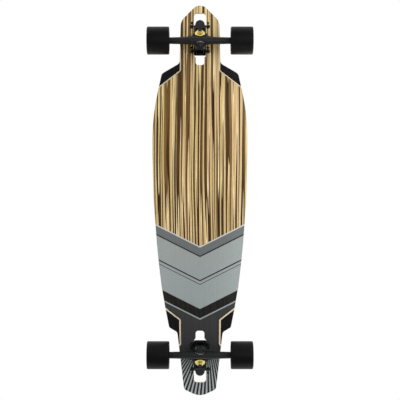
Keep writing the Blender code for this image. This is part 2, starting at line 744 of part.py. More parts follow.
def add_wheel(label, hanger_parent, unsteered, side):
    """A wheel with its bearings, and the spacer and nut that stay with the axle."""
    mirror = unsteered @ Matrix.Rotation(0 if side > 0 else math.pi, 4, "Y")
    hub = add_empty(f"{label}_hub", hanger_parent, mirror)
    add_piece(f"{label}_wheel", wheel_mesh(), "urethane", hub)
    outer_x = INNER_BEARING_X + BEARING_WIDTH + SPACER_LENGTH
    for place_name, x in (("inner", INNER_BEARING_X), ("outer", outer_x)):
        bearing = across_ring(BEARING_BORE, BEARING_RADIUS, x, BEARING_WIDTH, 20)
        add_piece(f"{label}_bearing_{place_name}", bearing, "steel", hub)
    start = INNER_BEARING_X + BEARING_WIDTH + GAP
    spacer = across_ring(AXLE_RADIUS + GAP, SPACER_RADIUS, start, SPACER_LENGTH - 2 * GAP, 12)
    add_piece(f"{label}_spacer", spacer, "steel", hub)
    nut_start = outer_x + BEARING_WIDTH + 1.6 * MM
    inner = (AXLE_RADIUS + GAP) / math.cos(math.pi / 6)
    nut = across_ring(inner, AXLE_NUT_RADIUS, nut_start, AXLE_NUT_HEIGHT, 6)
    add_piece(f"{label}_axle_nut", nut, "steel", hub)


def main():
    clear_scene()
    add_deck()
    add_grip_tape()
    add_medallion()
    for name, centre, facing in truck_centres():
        add_truck(name, centre, facing)


main()
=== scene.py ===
"""The longboard's looks: a fine surface and a finish for every piece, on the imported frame.

Metres, +Z up, +Y towards the nose, +X to the rider's right. A size is written in millimetres
times MM, and in_mm turns a list of millimetres into metres. The sizes of the construction are
those that the frame was built from.
"""

import math

import bmesh
import bpy
from mathutils import Matrix, Vector
from mathutils.geometry import intersect_point_line


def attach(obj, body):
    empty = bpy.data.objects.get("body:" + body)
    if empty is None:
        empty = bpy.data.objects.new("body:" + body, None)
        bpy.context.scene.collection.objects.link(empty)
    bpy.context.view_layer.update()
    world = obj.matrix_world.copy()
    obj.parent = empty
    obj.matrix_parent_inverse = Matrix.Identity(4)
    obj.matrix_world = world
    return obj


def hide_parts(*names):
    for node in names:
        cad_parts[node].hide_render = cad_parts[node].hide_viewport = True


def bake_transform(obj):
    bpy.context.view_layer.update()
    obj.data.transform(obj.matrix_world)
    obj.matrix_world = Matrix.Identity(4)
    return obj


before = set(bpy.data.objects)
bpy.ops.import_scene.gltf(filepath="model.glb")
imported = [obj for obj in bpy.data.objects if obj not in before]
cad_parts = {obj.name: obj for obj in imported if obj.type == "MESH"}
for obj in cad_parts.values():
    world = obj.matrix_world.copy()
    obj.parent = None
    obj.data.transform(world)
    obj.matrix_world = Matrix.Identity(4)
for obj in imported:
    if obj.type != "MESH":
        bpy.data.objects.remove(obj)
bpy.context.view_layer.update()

MM = 0.001
BEYOND = 5 * MM  # how far a cutter runs past what it cuts

# Deck: half width, place along the board and corner radius of each corner of the right-hand edge,
# in millimetres
DECK_EDGE = [
    (0, 509.5, 23),  # nose tip
    (49.6, 460.5, 32),
    (52.6, 352, 12),
    (98.6, 325.5, 14),  # front shoulder
    (122.3, 219, 530),
    (122.2, 3, 2300),
    (100.2, -221.6, 1150),
    (79.3, -326.5, 9),  # rear shoulder
    (58.5, -338.5, 10),
    (41.2, -485.2, 12),
    (0, -504, 40),  # tail tip
]
DECK_BOTTOM = 76.4 * MM
DECK_THICKNESS = 11 * MM
DECK_TOP = DECK_BOTTOM + DECK_THICKNESS
PLIES = 9
FLAT_HALF = 60 * MM  # the pressed profile is flat this far each side of the middle
RAIL_HALF = 120 * MM
RAIL_RISE = 6 * MM  # how far the pressed profile has risen at RAIL_HALF
PRESS_STEP = 4 * MM  # width of the strips that the pressed profile is drawn in
PRESS_END = 1.03 * RAIL_HALF  # just past the deck's widest place
EDGE_SANDED = 0.2 * MM  # how far the finished edge is inside the drawn one
UNDER_ROUND = 2.4 * MM  # radius of the deck's lower edge
UPPER_ROUND = 0.5 * MM  # and of its upper one
RIM_SOFTENING = 0.3 * MM  # chamfer round the slots

# Truck slots, measured from the middle of each truck's bolt pattern
NOSE_TRUCK_Y = 413.5 * MM
TAIL_TRUCK_Y = -401 * MM
SLOT_HALF_LENGTH = 66.5 * MM
SLOT_HALF_WIDTH = 15.5 * MM
TONGUE_HALF_WIDTH = 11.2 * MM
TONGUE_LENGTH = 19 * MM
SHOULDER_LENGTH = 5 * MM
SLOT_ROUND = 8 * MM
SLOT_CORNER = 1 * MM

# Wheel wells: the line where each starts, as half width, place and corner radius in millimetres
FRONT_WELL = [(108, 287, 0), (48.7, 332, 7), (49.3, 396, 5), (58, 405, 0)]
REAR_WELL = [(90, -273.8, 0), (49, -305.2, 7), (48.2, -369, 5), (60, -384, 0)]
WELL_DEPTH = 3 * MM
FRONT_WELL_WALL = 2.3 * MM  # plan widths of the sloping walls
REAR_WELL_WALL = 3.3 * MM
WELLS = ((FRONT_WELL, FRONT_WELL_WALL), (REAR_WELL, REAR_WELL_WALL))
INK_LINE_WIDTH = 1.9 * MM  # of the black line that follows each rear well
INK_LINE_DEPTH = 0.12 * MM

GRIP_BOTTOM = DECK_TOP + 0.05 * MM
GRIP_THICKNESS = 1.2 * MM
GRIP_INSET = 0.5 * MM  # how far the sheet stands back from the deck's edge
GRIP_ROOM = 0.3 * MM  # and from the slots and the medallion
MEDALLION_RADIUS = 57 * MM
MEDALLION_TOP = 89.2 * MM
MEDALLION_Y = 8.5 * MM
RIM_INNER = 0.887  # of the medallion's bare rim, as shares of its radius
RIM_OUTER = 0.952
RIM_BLUR = 0.008

BOLT_ACROSS = 41.28 * MM
BOLT_ALONG = 63.5 * MM
SPARE_HOLE_STEP = 9.5 * MM
BOLT_HOLE_RADIUS = 2.8 * MM

# Photograph: its width in the plane of the deck, the camera's distance and its middle
PHOTO_WIDTH = 1025.6 * MM
CAMERA_DISTANCE = 2400 * MM
PHOTO_MIDDLE_Y = 0.9 * MM


def srgb(red, green, blue):
    """A colour as it is seen on a screen, 0 to 255, as the linear values a shader takes."""
    values = []
    for level in (red, green, blue):
        share = level / 255
        values.append(share / 12.92 if share <= 0.04045 else ((share + 0.055) / 1.055) ** 2.4)
    return (*values, 1)


# Meshes


def in_mm(points):
    return [tuple(value * MM for value in point) for point in points]


def pointing(direction, origin):
    """The frame at an origin whose Z is this direction and whose X stays across the board."""
    third = Vector(direction).normalized()
    first = Vector((1, 0, 0))
    second = third.cross(first)
    turn = Matrix((first, second, third)).transposed()
    return Matrix.Translation(origin) @ turn.to_4x4()


def mesh_from(bm, place=None):
    if place is not None:
        bmesh.ops.transform(bm, matrix=place, verts=bm.verts)
    bmesh.ops.recalc_face_normals(bm, faces=bm.faces)
    mesh = bpy.data.meshes.new("shape")
    bm.to_mesh(mesh)
    bm.free()
    return mesh


def rounded(corners, closed=False, arc_step=math.radians(9)):
    """The points along straight runs through (x, y, radius) corners, each rounded to its radius."""
    points = []
    for index, (x, y, radius) in enumerate(corners):
        here = Vector((x, y))
        at_end = index in (0, len(corners) - 1)
        if radius == 0 or (at_end and not closed):
            points.append(here)
            continue
        before = Vector(corners[index - 1][:2]) - here
        after = Vector(corners[(index + 1) % len(corners)][:2]) - here
        before.normalize()
        after.normalize()
        half = before.angle(after) / 2
        centre = here + (before + after).normalized() * radius / math.sin(half)
        reach = radius / math.tan(half)
        first = here + before * reach - centre
        turn = first.angle_signed(here + after * reach - centre)
        steps = max(2, math.ceil(abs(turn) / arc_step))
        for step in range(steps + 1):
            points.append(centre + Matrix.Rotation(-turn * step / steps, 2) @ first)
    return [tuple(point) for point in points]


def moved_in(outline, inset):
    """A closed outline that runs clockwise, moved in by the inset."""
    points = [Vector(point) for point in outline]
    moved = []
    for index, point in enumerate(points):
        along = (points[(index + 1) % len(points)] - points[index - 1]).normalized()
        moved.append((point.x + along.y * inset, point.y - along.x * inset))
    return moved


def lofted(rings, place=None):
    """A closed solid through rings of (x, y, z) points, all with the same number of points."""
    bm = bmesh.new()
    rows = [[bm.verts.new(point) for point in ring] for ring in rings]
    count = len(rows[0])
    for lower, upper in zip(rows, rows[1:]):
        for index in range(count):
            after = (index + 1) % count
            bm.faces.new((lower[index], lower[after], upper[after], upper[index]))
    bm.faces.new(rows[0])
    bm.faces.new(rows[-1])
    return mesh_from(bm, place)


def prism(outline, low, high, place=None):
    return lofted([[(x, y, z) for x, y in outline] for z in (low, high)], place)


def stacked(levels, outline_at):
    """A solid through the outlines that a function gives for each (height, inset)."""
    return lofted([[(x, y, z) for x, y in outline_at(inset)] for z, inset in levels])


def turned(profile, sides, place=None):
    """A solid turned about Z from (radius, height) points, closed on the axis or on itself.

    A third value in a point is how far the flats of a hexagon are from the axis, which then
    limit the radius there.
    """
    bm = bmesh.new()
    sixth = math.tau / 6
    rows = []
    for radius, height, *flats in profile:
        row = []
        for step in range(sides if radius > 0 else 1):
            turn = math.tau * step / sides
            reach = min([radius] + [flat / math.cos(turn % sixth - sixth / 2) for flat in flats])
            row.append(bm.verts.new((reach * math.cos(turn), reach * math.sin(turn), height)))
        rows.append(row)
    pairs = list(zip(rows, rows[1:]))
    if profile[0][0] > 0:
        pairs.append((rows[-1], rows[0]))
    for lower, upper in pairs:
        for step in range(sides):
            after = (step + 1) % sides
            corners = (lower[step % len(lower)], lower[after % len(lower)])
            corners += (upper[after % len(upper)], upper[step % len(upper)])
            bm.faces.new(dict.fromkeys(corners))
    return mesh_from(bm, place)


def rod(radius, low, high, sides, place=None):
    return turned([(0, low), (radius, low), (radius, high), (0, high)], sides, place)


def in_scene(name, data):
    """An object of the scene that holds the data."""
    holder = bpy.data.objects.new(name, data)
    bpy.context.collection.objects.link(holder)
    return holder


def modified(mesh, set_up):
    """The mesh after the modifiers that set_up adds to an object that holds it."""
    helper = in_scene("helper", mesh)
    set_up(helper)
    bpy.context.view_layer.update()
    made = bpy.data.meshes.new_from_object(helper.evaluated_get(bpy.context.evaluated_depsgraph_get()))
    bpy.data.objects.remove(helper)
    return made


def combined(body, joined=(), cut=()):
    """One mesh made of a body and the shapes joined to it, less the shapes that cut it."""
    helpers = []

    def add_booleans(base):
        for operation, shapes in (("UNION", joined), ("DIFFERENCE", cut)):
            for shape in shapes:
                helpers.append(in_scene("cutter", shape))
                modifier = base.modifiers.new("combine", "BOOLEAN")
                modifier.solver = "EXACT"
                modifier.operation = operation
                modifier.object = helpers[-1]

    made = modified(body, add_booleans)
    for helper in helpers:
        bpy.data.objects.remove(helper)
    return made


def sort_faces(mesh, kind_of):
    """The mesh, each face given the number of its finish."""
    mesh.polygons.foreach_set("material_index", [int(kind_of(face)) for face in mesh.polygons])
    return mesh


def piece_from(name, mesh, body, materials, slot, sharp=32):
    """A named piece that rides a body, shaded smooth between sharp edges."""
    piece = in_scene(name, mesh)
    mesh.shade_smooth()
    mesh.set_sharp_from_angle(angle=math.radians(sharp))
    kinds = [face.material_index for face in mesh.polygons]
    mesh.materials.clear()
    for material in materials:
        mesh.materials.append(material)
    mesh.polygons.foreach_set("material_index", kinds)
    if body is not None:
        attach(piece, body)
    return piece


# Nodes of materials


def feed(tree, socket, value):
    if isinstance(value, bpy.types.NodeSocket):
        tree.links.new(value, socket)
    else:
        socket.default_value = value


def add_node(tree, kind, inputs=None, **settings):
    """A node with its settings, and its inputs fed from sockets or given values by name."""
    node = tree.nodes.new(kind)
    for name, value in settings.items():
        setattr(node, name, value)
    for name, value in (inputs or {}).items():
        feed(tree, node.inputs[name], value)
    return node


def maths(tree, operation, *values):
    node = add_node(tree, "ShaderNodeMath", operation=operation)
    for socket, value in zip(node.inputs, values):
        feed(tree, socket, value)
    return node.outputs[0]


def plus(tree, first, second):
    return maths(tree, "ADD", first, second)


def minus(tree, first, second):
    return maths(tree, "SUBTRACT", first, second)


def times(tree, first, second):
    return maths(tree, "MULTIPLY", first, second)


def vector_maths(tree, operation, first, second=(0, 0, 0)):
    return add_node(tree, "ShaderNodeVectorMath", {0: first, 1: second}, operation=operation).outputs


def along_x(tree, value):
    return add_node(tree, "ShaderNodeCombineXYZ", {"X": value}).outputs[0]


def split(tree, vector):
    return add_node(tree, "ShaderNodeSeparateXYZ", {"Vector": vector}).outputs


def blended(tree, factor, first, second, blend="MIX"):
    """Two colours mixed by a factor."""
    node = add_node(tree, "ShaderNodeMix", data_type="RGBA", blend_type=blend)
    for index, value in ((0, factor), (6, first), (7, second)):
        feed(tree, node.inputs[index], value)
    return node.outputs[2]


def shaded(tree, colour, value):
    """A colour made darker or lighter by a value round one."""
    grey = add_node(tree, "ShaderNodeCombineColor", dict.fromkeys(("Red", "Green", "Blue"), value))
    return blended(tree, 1.0, colour, grey.outputs[0], "MULTIPLY")


def spread(tree, value, low, high, to_low=0.0, to_high=1.0):
    """A value carried from one range to another, and held inside it."""
    inputs = {"Value": value, "From Min": low, "From Max": high, "To Min": to_low, "To Max": to_high}
    return add_node(tree, "ShaderNodeMapRange", inputs, clamp=True).outputs["Result"]


def soft_step(tree, value, low, high):
    inputs = {"Value": value, "From Min": low, "From Max": high}
    return add_node(tree, "ShaderNodeMapRange", inputs, interpolation_type="SMOOTHSTEP").outputs["Result"]


def ramp(tree, value, stops, interpolation="LINEAR"):
    """A colour ramp with (place, colour) stops."""
    node = add_node(tree, "ShaderNodeValToRGB", {"Fac": value})
    node.color_ramp.interpolation = interpolation
    elements = node.color_ramp.elements
    while len(elements) < len(stops):
        elements.new(1.0)
    for element, (place, colour) in zip(elements, stops):
        element.position = place
        element.color = colour
    return node.outputs["Color"]


def on_piece(tree):
    """The place on the piece, in metres."""
    return add_node(tree, "ShaderNodeTexCoord").outputs["Object"]


def stretched(tree, scale=(1, 1, 1), offset=(0, 0, 0)):
    """The place on the piece in metres, times a scale along each axis."""
    inputs = {"Vector": on_piece(tree), "Scale": scale, "Location": offset}
    return add_node(tree, "ShaderNodeMapping", inputs).outputs["Vector"]


def noise(tree, vector, scale=1.0, detail=2.0, roughness=0.5):
    inputs = {"Vector": vector, "Scale": scale, "Detail": detail, "Roughness": roughness}
    return add_node(tree, "ShaderNodeTexNoise", inputs).outputs["Fac"]


def bumped(tree, height, strength, distance):
    inputs = {"Height": height, "Strength": strength, "Distance": distance}
    return add_node(tree, "ShaderNodeBump", inputs).outputs["Normal"]


def new_group(name, inputs, outputs):
    """An empty group of values, from its inputs' starts: its tree, what it is given and its results."""
    tree = bpy.data.node_groups.new(name, "ShaderNodeTree")
    for label, start in inputs.items():
        socket = tree.interface.new_socket(label, in_out="INPUT", socket_type="NodeSocketFloat")
        socket.default_value = start
    for label in outputs:
        tree.interface.new_socket(label, in_out="OUTPUT", socket_type="NodeSocketFloat")
    return tree, tree.nodes.new("NodeGroupInput").outputs, tree.nodes.new("NodeGroupOutput").inputs


def use_group(tree, group, **inputs):
    """The outputs of a group placed in a material, with its own values for the inputs named."""
    node = add_node(tree, "ShaderNodeGroup", node_tree=group)
    for name, value in inputs.items():
        feed(tree, node.inputs[name.replace("_", " ")], value)
    return node.outputs


def new_material(name):
    """A material with its node tree and its Principled shader."""
    material = bpy.data.materials.new(name)
    material.use_nodes = True
    return material, material.node_tree, material.node_tree.nodes["Principled BSDF"]


def surface(tree, shader, colour, roughness, normal, specular=0.5, coat=0.0, coat_roughness=0.03):
    """Feeds the shader: first what changes over the piece, then what is the same all over it."""
    inputs = {
        "Base Color": colour,
        "Roughness": roughness,
        "Normal": normal,
        "Specular IOR Level": specular,
        "Coat Weight": coat,
        "Coat Roughness": coat_roughness,
    }
    for name, value in inputs.items():
        feed(tree, shader.inputs[name], value)


# Effects that more than one finish uses


def fibre_group():
    """Fine fibres that run along the board, and the pores between them."""
    tree, given, result = new_group("Wood fibres", {"Fineness": 1.0, "Waviness": 1.0}, ("Fibre", "Pores"))
    bend = noise(tree, stretched(tree, (9, 5, 9)), detail=1)
    bend = times(tree, bend, times(tree, given["Waviness"], 0.9))
    shifted = vector_maths(tree, "ADD", stretched(tree, (900, 14, 900)), along_x(tree, bend))[0]
    pores = noise(tree, stretched(tree, (1900, 55, 1900)), given["Fineness"], detail=1)
    feed(tree, result["Fibre"], noise(tree, shifted, given["Fineness"], detail=3, roughness=0.65))
    feed(tree, result["Pores"], soft_step(tree, pores, 0.62, 0.74))
    return tree


def grained(tree, colour, fibres, darkest, lightest, reach=0.2):
    """A colour with its darker and lighter fibres, which vary by the reach round a half."""
    shade = spread(tree, fibres["Fibre"], 0.5 - reach, 0.5 + reach, darkest, lightest)
    return shaded(tree, colour, shade)


def handling_group():
    """Faint cloudy marks from handling, as a change of roughness and of shade."""
    outputs = ("Roughness change", "Shade")
    tree, given, result = new_group("Handling marks", {"Size": 1.0, "Amount": 0.5}, outputs)
    scale = maths(tree, "DIVIDE", 30.0, given["Size"])
    cloud = noise(tree, stretched(tree), scale, detail=5, roughness=0.62)
    change = times(tree, minus(tree, cloud, 0.5), given["Amount"])
    feed(tree, result["Roughness change"], change)
    feed(tree, result["Shade"], plus(tree, times(tree, change, 0.35), 1.0))
    return tree


def grain_group():
    """The pebbled skin of a casting or of moulded urethane, and the specks in it that hold dust."""
    tree, given, result = new_group("Cast skin", {"Grain size": 0.6}, ("Height", "Speckle"))
    scale = maths(tree, "DIVIDE", 1000.0, given["Grain size"])
    where = stretched(tree)
    speckle = noise(tree, where, times(tree, scale, 1.7), detail=1)
    feed(tree, result["Height"], noise(tree, where, scale, detail=3, roughness=0.6))
    feed(tree, result["Speckle"], soft_step(tree, speckle, 0.58, 0.72))
    return tree


def edge_rub_and_highlight_group():
    """Convex edges, from 0 to 1, broken up by a fine noise: partly rubbing, partly a painted highlight
    where an edge catches light.
    """
    tree, given, result = new_group("Edge rubbing and highlight", {"Reach": 0.5}, ("Rub_and_highlight",))
    bend = add_node(tree, "ShaderNodeNewGeometry").outputs["Pointiness"]
    broken = noise(tree, stretched(tree, (260, 260, 260)), detail=4, roughness=0.7)
    edge = spread(tree, bend, 0.52, minus(tree, 0.62, times(tree, given["Reach"], 0.08)))
    feed(tree, result["Rub_and_highlight"], times(tree, edge, spread(tree, broken, 0.42, 0.60)))
    return tree


FIBRES = fibre_group()
HANDLING = handling_group()
SKIN = grain_group()
EDGE_RUB_AND_HIGHLIGHT = edge_rub_and_highlight_group()

# Finishes of the deck group

BLACK_WALNUT = srgb(40, 24, 8)
# Veneer: colours from the heart of a dark stripe, through its edge, to the pale wood between
VENEER_STOPS = [
    (0.0, srgb(98, 72, 30)),
    (0.16, srgb(70, 46, 14)),
    (0.30, srgb(46, 27, 5)),
    (0.36, srgb(88, 62, 25)),
    (0.41, srgb(34, 18, 3)),
    (0.47, srgb(26, 13, 2)),
    (0.50, srgb(84, 58, 24)),
    (0.53, srgb(255, 234, 190)),
    (0.63, srgb(242, 218, 172)),
    (0.74, srgb(206, 178, 130)),
    (0.83, srgb(168, 138, 90)),
    (0.89, srgb(242, 218, 168)),
    (1.0, srgb(202, 170, 120)),
]
# The same stripes where the veneer is cut from paler wood
PALE_VENEER_STOPS = [
    (0.0, srgb(132, 102, 54)),
    (0.25, srgb(98, 70, 30)),
    (0.40, srgb(126, 96, 50)),
    (0.47, srgb(64, 42, 14)),
    (0.50, srgb(128, 98, 54)),
    (0.53, srgb(250, 228, 182)),
    (0.70, srgb(226, 200, 150)),
    (0.85, srgb(180, 150, 102)),
    (1.0, srgb(228, 202, 152)),
]
# Slow changes of tint over the veneer
VENEER_TINTS = [(0.35, (1.0, 0.97, 0.96, 1)), (0.5, (0.99, 0.99, 0.94, 1)), (0.65, (0.96, 0.98, 0.84, 1))]
VENEER_STRIPES = 205  # noise cells in a metre across the board
VENEER_ALONG = 1.7  # and along it
GRIT_STOPS = [(0.25, srgb(22, 27, 30)), (0.5, srgb(41, 47, 50)), (0.72, srgb(74, 81, 85))]
GOLDEN_STOPS = [(0.3, srgb(220, 162, 46)), (0.5, srgb(243, 188, 70)), (0.7, srgb(254, 210, 100))]
INK_BLACK = srgb(13, 13, 15)
INK_CHARCOAL = srgb(50, 51, 53)
INK_SLATE = srgb(104, 109, 112)
INK_SILVER = srgb(150, 158, 158)
INK_PALE = srgb(196, 200, 198)

# Printed bands: the place on the centre line, in millimetres, where each V starts, and its ink
PRINT_SLOPE = 0.5
PRINT_BANDS = [
    (-118, INK_PALE),
    (-120.5, INK_SLATE),
    (-142, INK_BLACK),
    (-145, INK_SILVER),
    (-204, INK_BLACK),
    (-206.5, INK_SILVER),
    (-213, INK_BLACK),
    (-215.5, INK_SILVER),
    (-278, INK_BLACK),
    (-302, INK_SILVER),
    (-306, INK_CHARCOAL),
]
PRINT_END = -560
# Stripes of the tail: they fan out from a place on the board, and are silver on black
FAN_X = -19
FAN_Y = -332
FAN_START = -398  # no stripes nearer the nose than this
FAN_STEP = math.radians(3.4)
FAN_SHARE = 0.46  # how much of each step is silver


def veneer_colour(tree):
    """Striped veneer: dark and light bands of many widths along the board."""
    drift = minus(tree, noise(tree, stretched(tree, (5, 1.6, 1)), detail=2), 0.5)
    wander = along_x(tree, times(tree, drift, 3.6))

    def lines(across, along, start, detail):
        place = stretched(tree, (across, along, 0), (start, 0, 0))
        return noise(tree, vector_maths(tree, "ADD", place, wander)[0], detail=detail, roughness=0.6)

    stripes = lines(VENEER_STRIPES, VENEER_ALONG, 3.7, 0.6)
    broad = lines(24, 0.6, 8.1, 1)
    fine = lines(480, 3.6, 1.3, 1.5)
    for level, weight in ((broad, 0.08), (fine, 0.05)):
        stripes = plus(tree, stripes, times(tree, minus(tree, level, 0.5), weight))
    place = spread(tree, stripes, 0.35, 0.65)
    paler = spread(tree, lines(62, 1.1, 6.4, 1), 0.51, 0.62)
    colour = blended(tree, paler, ramp(tree, place, VENEER_STOPS), ramp(tree, place, PALE_VENEER_STOPS))
    warm = noise(tree, stretched(tree, (30, 1.5, 0), (5.2, 0, 0)), detail=1)
    return blended(tree, 1.0, colour, ramp(tree, warm, VENEER_TINTS), "MULTIPLY"), stripes


def printed_bands(tree):
    """Ink colour and where there is ink: nested V bands, with a fan of stripes at the tail."""
    parts = split(tree, on_piece(tree))
    across = maths(tree, "DIVIDE", parts["X"], MM)
    along = maths(tree, "DIVIDE", parts["Y"], MM)
    depth = minus(tree, along, times(tree, maths(tree, "ABSOLUTE", across), PRINT_SLOPE))
    start = PRINT_BANDS[0][0]
    stops = [((start - place) / (start - PRINT_END), ink) for place, ink in PRINT_BANDS]
    ink = ramp(tree, spread(tree, depth, start, PRINT_END), stops, "CONSTANT")
    has_ink = maths(tree, "LESS_THAN", depth, start)
    turn = maths(tree, "ARCTAN2", minus(tree, across, FAN_X), minus(tree, FAN_Y, along))
    step = maths(tree, "FRACT", maths(tree, "DIVIDE", turn, FAN_STEP))
    stripe = blended(tree, maths(tree, "LESS_THAN", step, FAN_SHARE), INK_BLACK, INK_SILVER)
    return blended(tree, maths(tree, "LESS_THAN", along, FAN_START), ink, stripe), has_ink


def underside_finish():
    """Lacquered striped veneer with the printed bands of the tail half."""
    material, tree, shader = new_material("Striped veneer")
    wood, stripes = veneer_colour(tree)
    fibres = use_group(tree, FIBRES, Fineness=1.0, Waviness=1.4)
    wood = grained(tree, wood, fibres, 0.80, 1.13, reach=0.25)
    wood = blended(tree, times(tree, fibres["Pores"], 0.35), wood, BLACK_WALNUT)
    ink, has_ink = printed_bands(tree)
    patchy = noise(tree, stretched(tree, (700, 90, 700)), detail=3, roughness=0.6)
    ink = shaded(tree, ink, spread(tree, patchy, 0.3, 0.7, 0.95, 1.05))
    colour = blended(tree, times(tree, has_ink, 0.99), wood, ink)
    marks = use_group(tree, HANDLING, Size=2.5, Amount=0.20)
    rough = plus(tree, 0.36, marks["Roughness change"])
    height = plus(tree, fibres["Fibre"], times(tree, stripes, 0.5))
    normal = bumped(tree, height, 0.12, 0.15 * MM)
    surface(tree, shader, colour, rough, normal, specular=0.16, coat=0.03, coat_roughness=0.2)
    return material


def board_height(tree):
    """How far above the pressed underside a place on the deck is, in metres."""
    parts = split(tree, on_piece(tree))
    beyond = minus(tree, maths(tree, "ABSOLUTE", parts["X"]), FLAT_HALF)
    share = maths(tree, "DIVIDE", maths(tree, "MAXIMUM", beyond, 0.0), RAIL_HALF - FLAT_HALF)
    rise = times(tree, times(tree, share, share), RAIL_RISE)
    return minus(tree, minus(tree, parts["Z"], DECK_BOTTOM), rise)


def ply_finish(name, long_grain, end_grain):
    """A cut through the plywood: long grain and end grain in turn, with glue between."""
    material, tree, shader = new_material(name)
    level = maths(tree, "DIVIDE", board_height(tree), DECK_THICKNESS / PLIES)
    wobble = noise(tree, stretched(tree, (30, 30, 30)), detail=2)
    level = plus(tree, level, times(tree, minus(tree, wobble, 0.5), 0.25))
    cross_ply = soft_step(tree, maths(tree, "PINGPONG", level, 1.0), 0.42, 0.58)
    glue = maths(tree, "COMPARE", maths(tree, "FRACT", plus(tree, level, 0.5)), 0.0, 0.07)
    fibres = use_group(tree, FIBRES, Fineness=0.7, Waviness=0.4)
    wood = blended(tree, cross_ply, long_grain, end_grain)
    wood = grained(tree, wood, fibres, 0.88, 1.07)
    wood = blended(tree, times(tree, glue, 0.5), wood, srgb(120, 88, 54))
    marks = use_group(tree, HANDLING, Size=1.0, Amount=0.2)
    rough = plus(tree, 0.5, marks["Roughness change"])
    normal = bumped(tree, fibres["Fibre"], 0.2, 0.2 * MM)
    surface(tree, shader, wood, rough, normal)
    return material


def well_paint_and_hole_shade_finish():
    """Black paint in the carved wheel wells, with the fibres just showing through; on the walls of the
    bolt holes the same black is painted shade.
    """
    material, tree, shader = new_material("Well paint and hole shade")
    fibres = use_group(tree, FIBRES, Fineness=0.6, Waviness=1.0)
    marks = use_group(tree, HANDLING, Size=1.5, Amount=0.4)
    paint = grained(tree, srgb(13, 13, 13), fibres, 0.75, 1.35)
    rough = plus(tree, 0.48, marks["Roughness change"])
    normal = bumped(tree, fibres["Fibre"], 0.25, 0.25 * MM)
    surface(tree, shader, paint, rough, normal, specular=0.10)
    return material


def grip_finish():
    """Abrasive sheet: dark grit with a few bright grains and faint scuffs."""
    material, tree, shader = new_material("Grip tape")
    grit = noise(tree, stretched(tree), 1500.0, detail=2, roughness=0.7)
    cells = add_node(tree, "ShaderNodeTexVoronoi", {"Vector": stretched(tree), "Scale": 1700.0})
    grain = cells.outputs["Distance"]
    marks = use_group(tree, HANDLING, Size=3.0, Amount=0.5)
    colour = shaded(tree, ramp(tree, grit, GRIT_STOPS), marks["Shade"])
    sparkle = soft_step(tree, minus(tree, grit, grain), 0.48, 0.60)
    colour = blended(tree, times(tree, sparkle, 0.6), colour, srgb(136, 142, 146))
    height = minus(tree, grit, times(tree, grain, 0.6))
    rough = spread(tree, sparkle, 0, 1, 0.92, 0.45)
    normal = bumped(tree, height, 0.8, 0.35 * MM)
    surface(tree, shader, colour, rough, normal, specular=0.3)
    return material


def medallion_finish():
    """Golden wood under lacquer, with a bare rim, scorched in the engraved lines."""
    material, tree, shader = new_material("Golden wood")
    fibres = use_group(tree, FIBRES, Fineness=0.8, Waviness=3.0)
    broad = noise(tree, stretched(tree, (60, 7, 60)), detail=3, roughness=0.6)
    wood = ramp(tree, broad, GOLDEN_STOPS)
    where = on_piece(tree)
    centred = vector_maths(tree, "SUBTRACT", where, (0, MEDALLION_Y, 0))[0]
    flat = vector_maths(tree, "MULTIPLY", centred, (1, 1, 0))[0]
    share = maths(tree, "DIVIDE", vector_maths(tree, "LENGTH", flat)["Value"], MEDALLION_RADIUS)
    bare = soft_step(tree, share, RIM_INNER - RIM_BLUR, RIM_INNER + RIM_BLUR)
    wood = blended(tree, bare, wood, srgb(252, 222, 156))
    wood = grained(tree, wood, fibres, 0.88, 1.08)
    height = split(tree, where)["Z"]
    scorched = spread(tree, height, MEDALLION_TOP - 0.08 * MM, MEDALLION_TOP - 0.35 * MM)
    wood = blended(tree, times(tree, scorched, 0.85), wood, srgb(140, 84, 16))
    marks = use_group(tree, HANDLING, Size=0.8, Amount=0.2)
    rough = plus(tree, 0.36, marks["Roughness change"])
    normal = bumped(tree, fibres["Fibre"], 0.15, 0.15 * MM)
    surface(tree, shader, wood, rough, normal, specular=0.4, coat=0.2, coat_roughness=0.25)
    return material


def scorched_and_shaded_edge_finish():
    """The medallion's bevelled edge: scorched wood, painted darker still as the shade in the gap round
    the disc.
    """
    material, tree, shader = new_material("Scorched edge and painted shade")
    fibres = use_group(tree, FIBRES, Fineness=0.8, Waviness=3.0)
    # Near black: partly scorched wood, partly painted shade of the gap round the disc.
    burnt_and_shaded = grained(tree, srgb(22, 11, 3), fibres, 0.7, 1.4)
    marks = use_group(tree, HANDLING, Size=0.8, Amount=0.3)
    rough = plus(tree, 0.6, marks["Roughness change"])
    normal = bumped(tree, fibres["Fibre"], 0.2, 0.15 * MM)
    surface(tree, shader, burnt_and_shaded, rough, normal, specular=0.06)
    return material


# Deck group


def truck_centres():
    """Each truck's name, the middle of its bolt pattern, and +1 or -1 for the way it faces."""
    return (("nose", NOSE_TRUCK_Y, 1), ("tail", TAIL_TRUCK_Y, -1))


def pressed_rise(x):
    """How far the moulded profile has risen at this distance from the middle."""
    beyond = max(0.0, abs(x) - FLAT_HALF) / (RAIL_HALF - FLAT_HALF)
    return RAIL_RISE * beyond**2


def pressed(mesh):
    """A flat sheet drawn to the moulded profile, cut into strips where it curves."""
    bm = bmesh.new()
    bm.from_mesh(mesh)
    x = FLAT_HALF
    while x < PRESS_END:
        for side in (-1, 1):
            everything = bm.verts[:] + bm.edges[:] + bm.faces[:]
            bmesh.ops.bisect_plane(
                bm, geom=everything, dist=1e-7, plane_co=(side * x, 0, 0), plane_no=(1, 0, 0)
            )
        x += PRESS_STEP
    for vertex in bm.verts:
        vertex.co.z += pressed_rise(vertex.co.x)
    bm.to_mesh(mesh)
    bm.free()
    return mesh


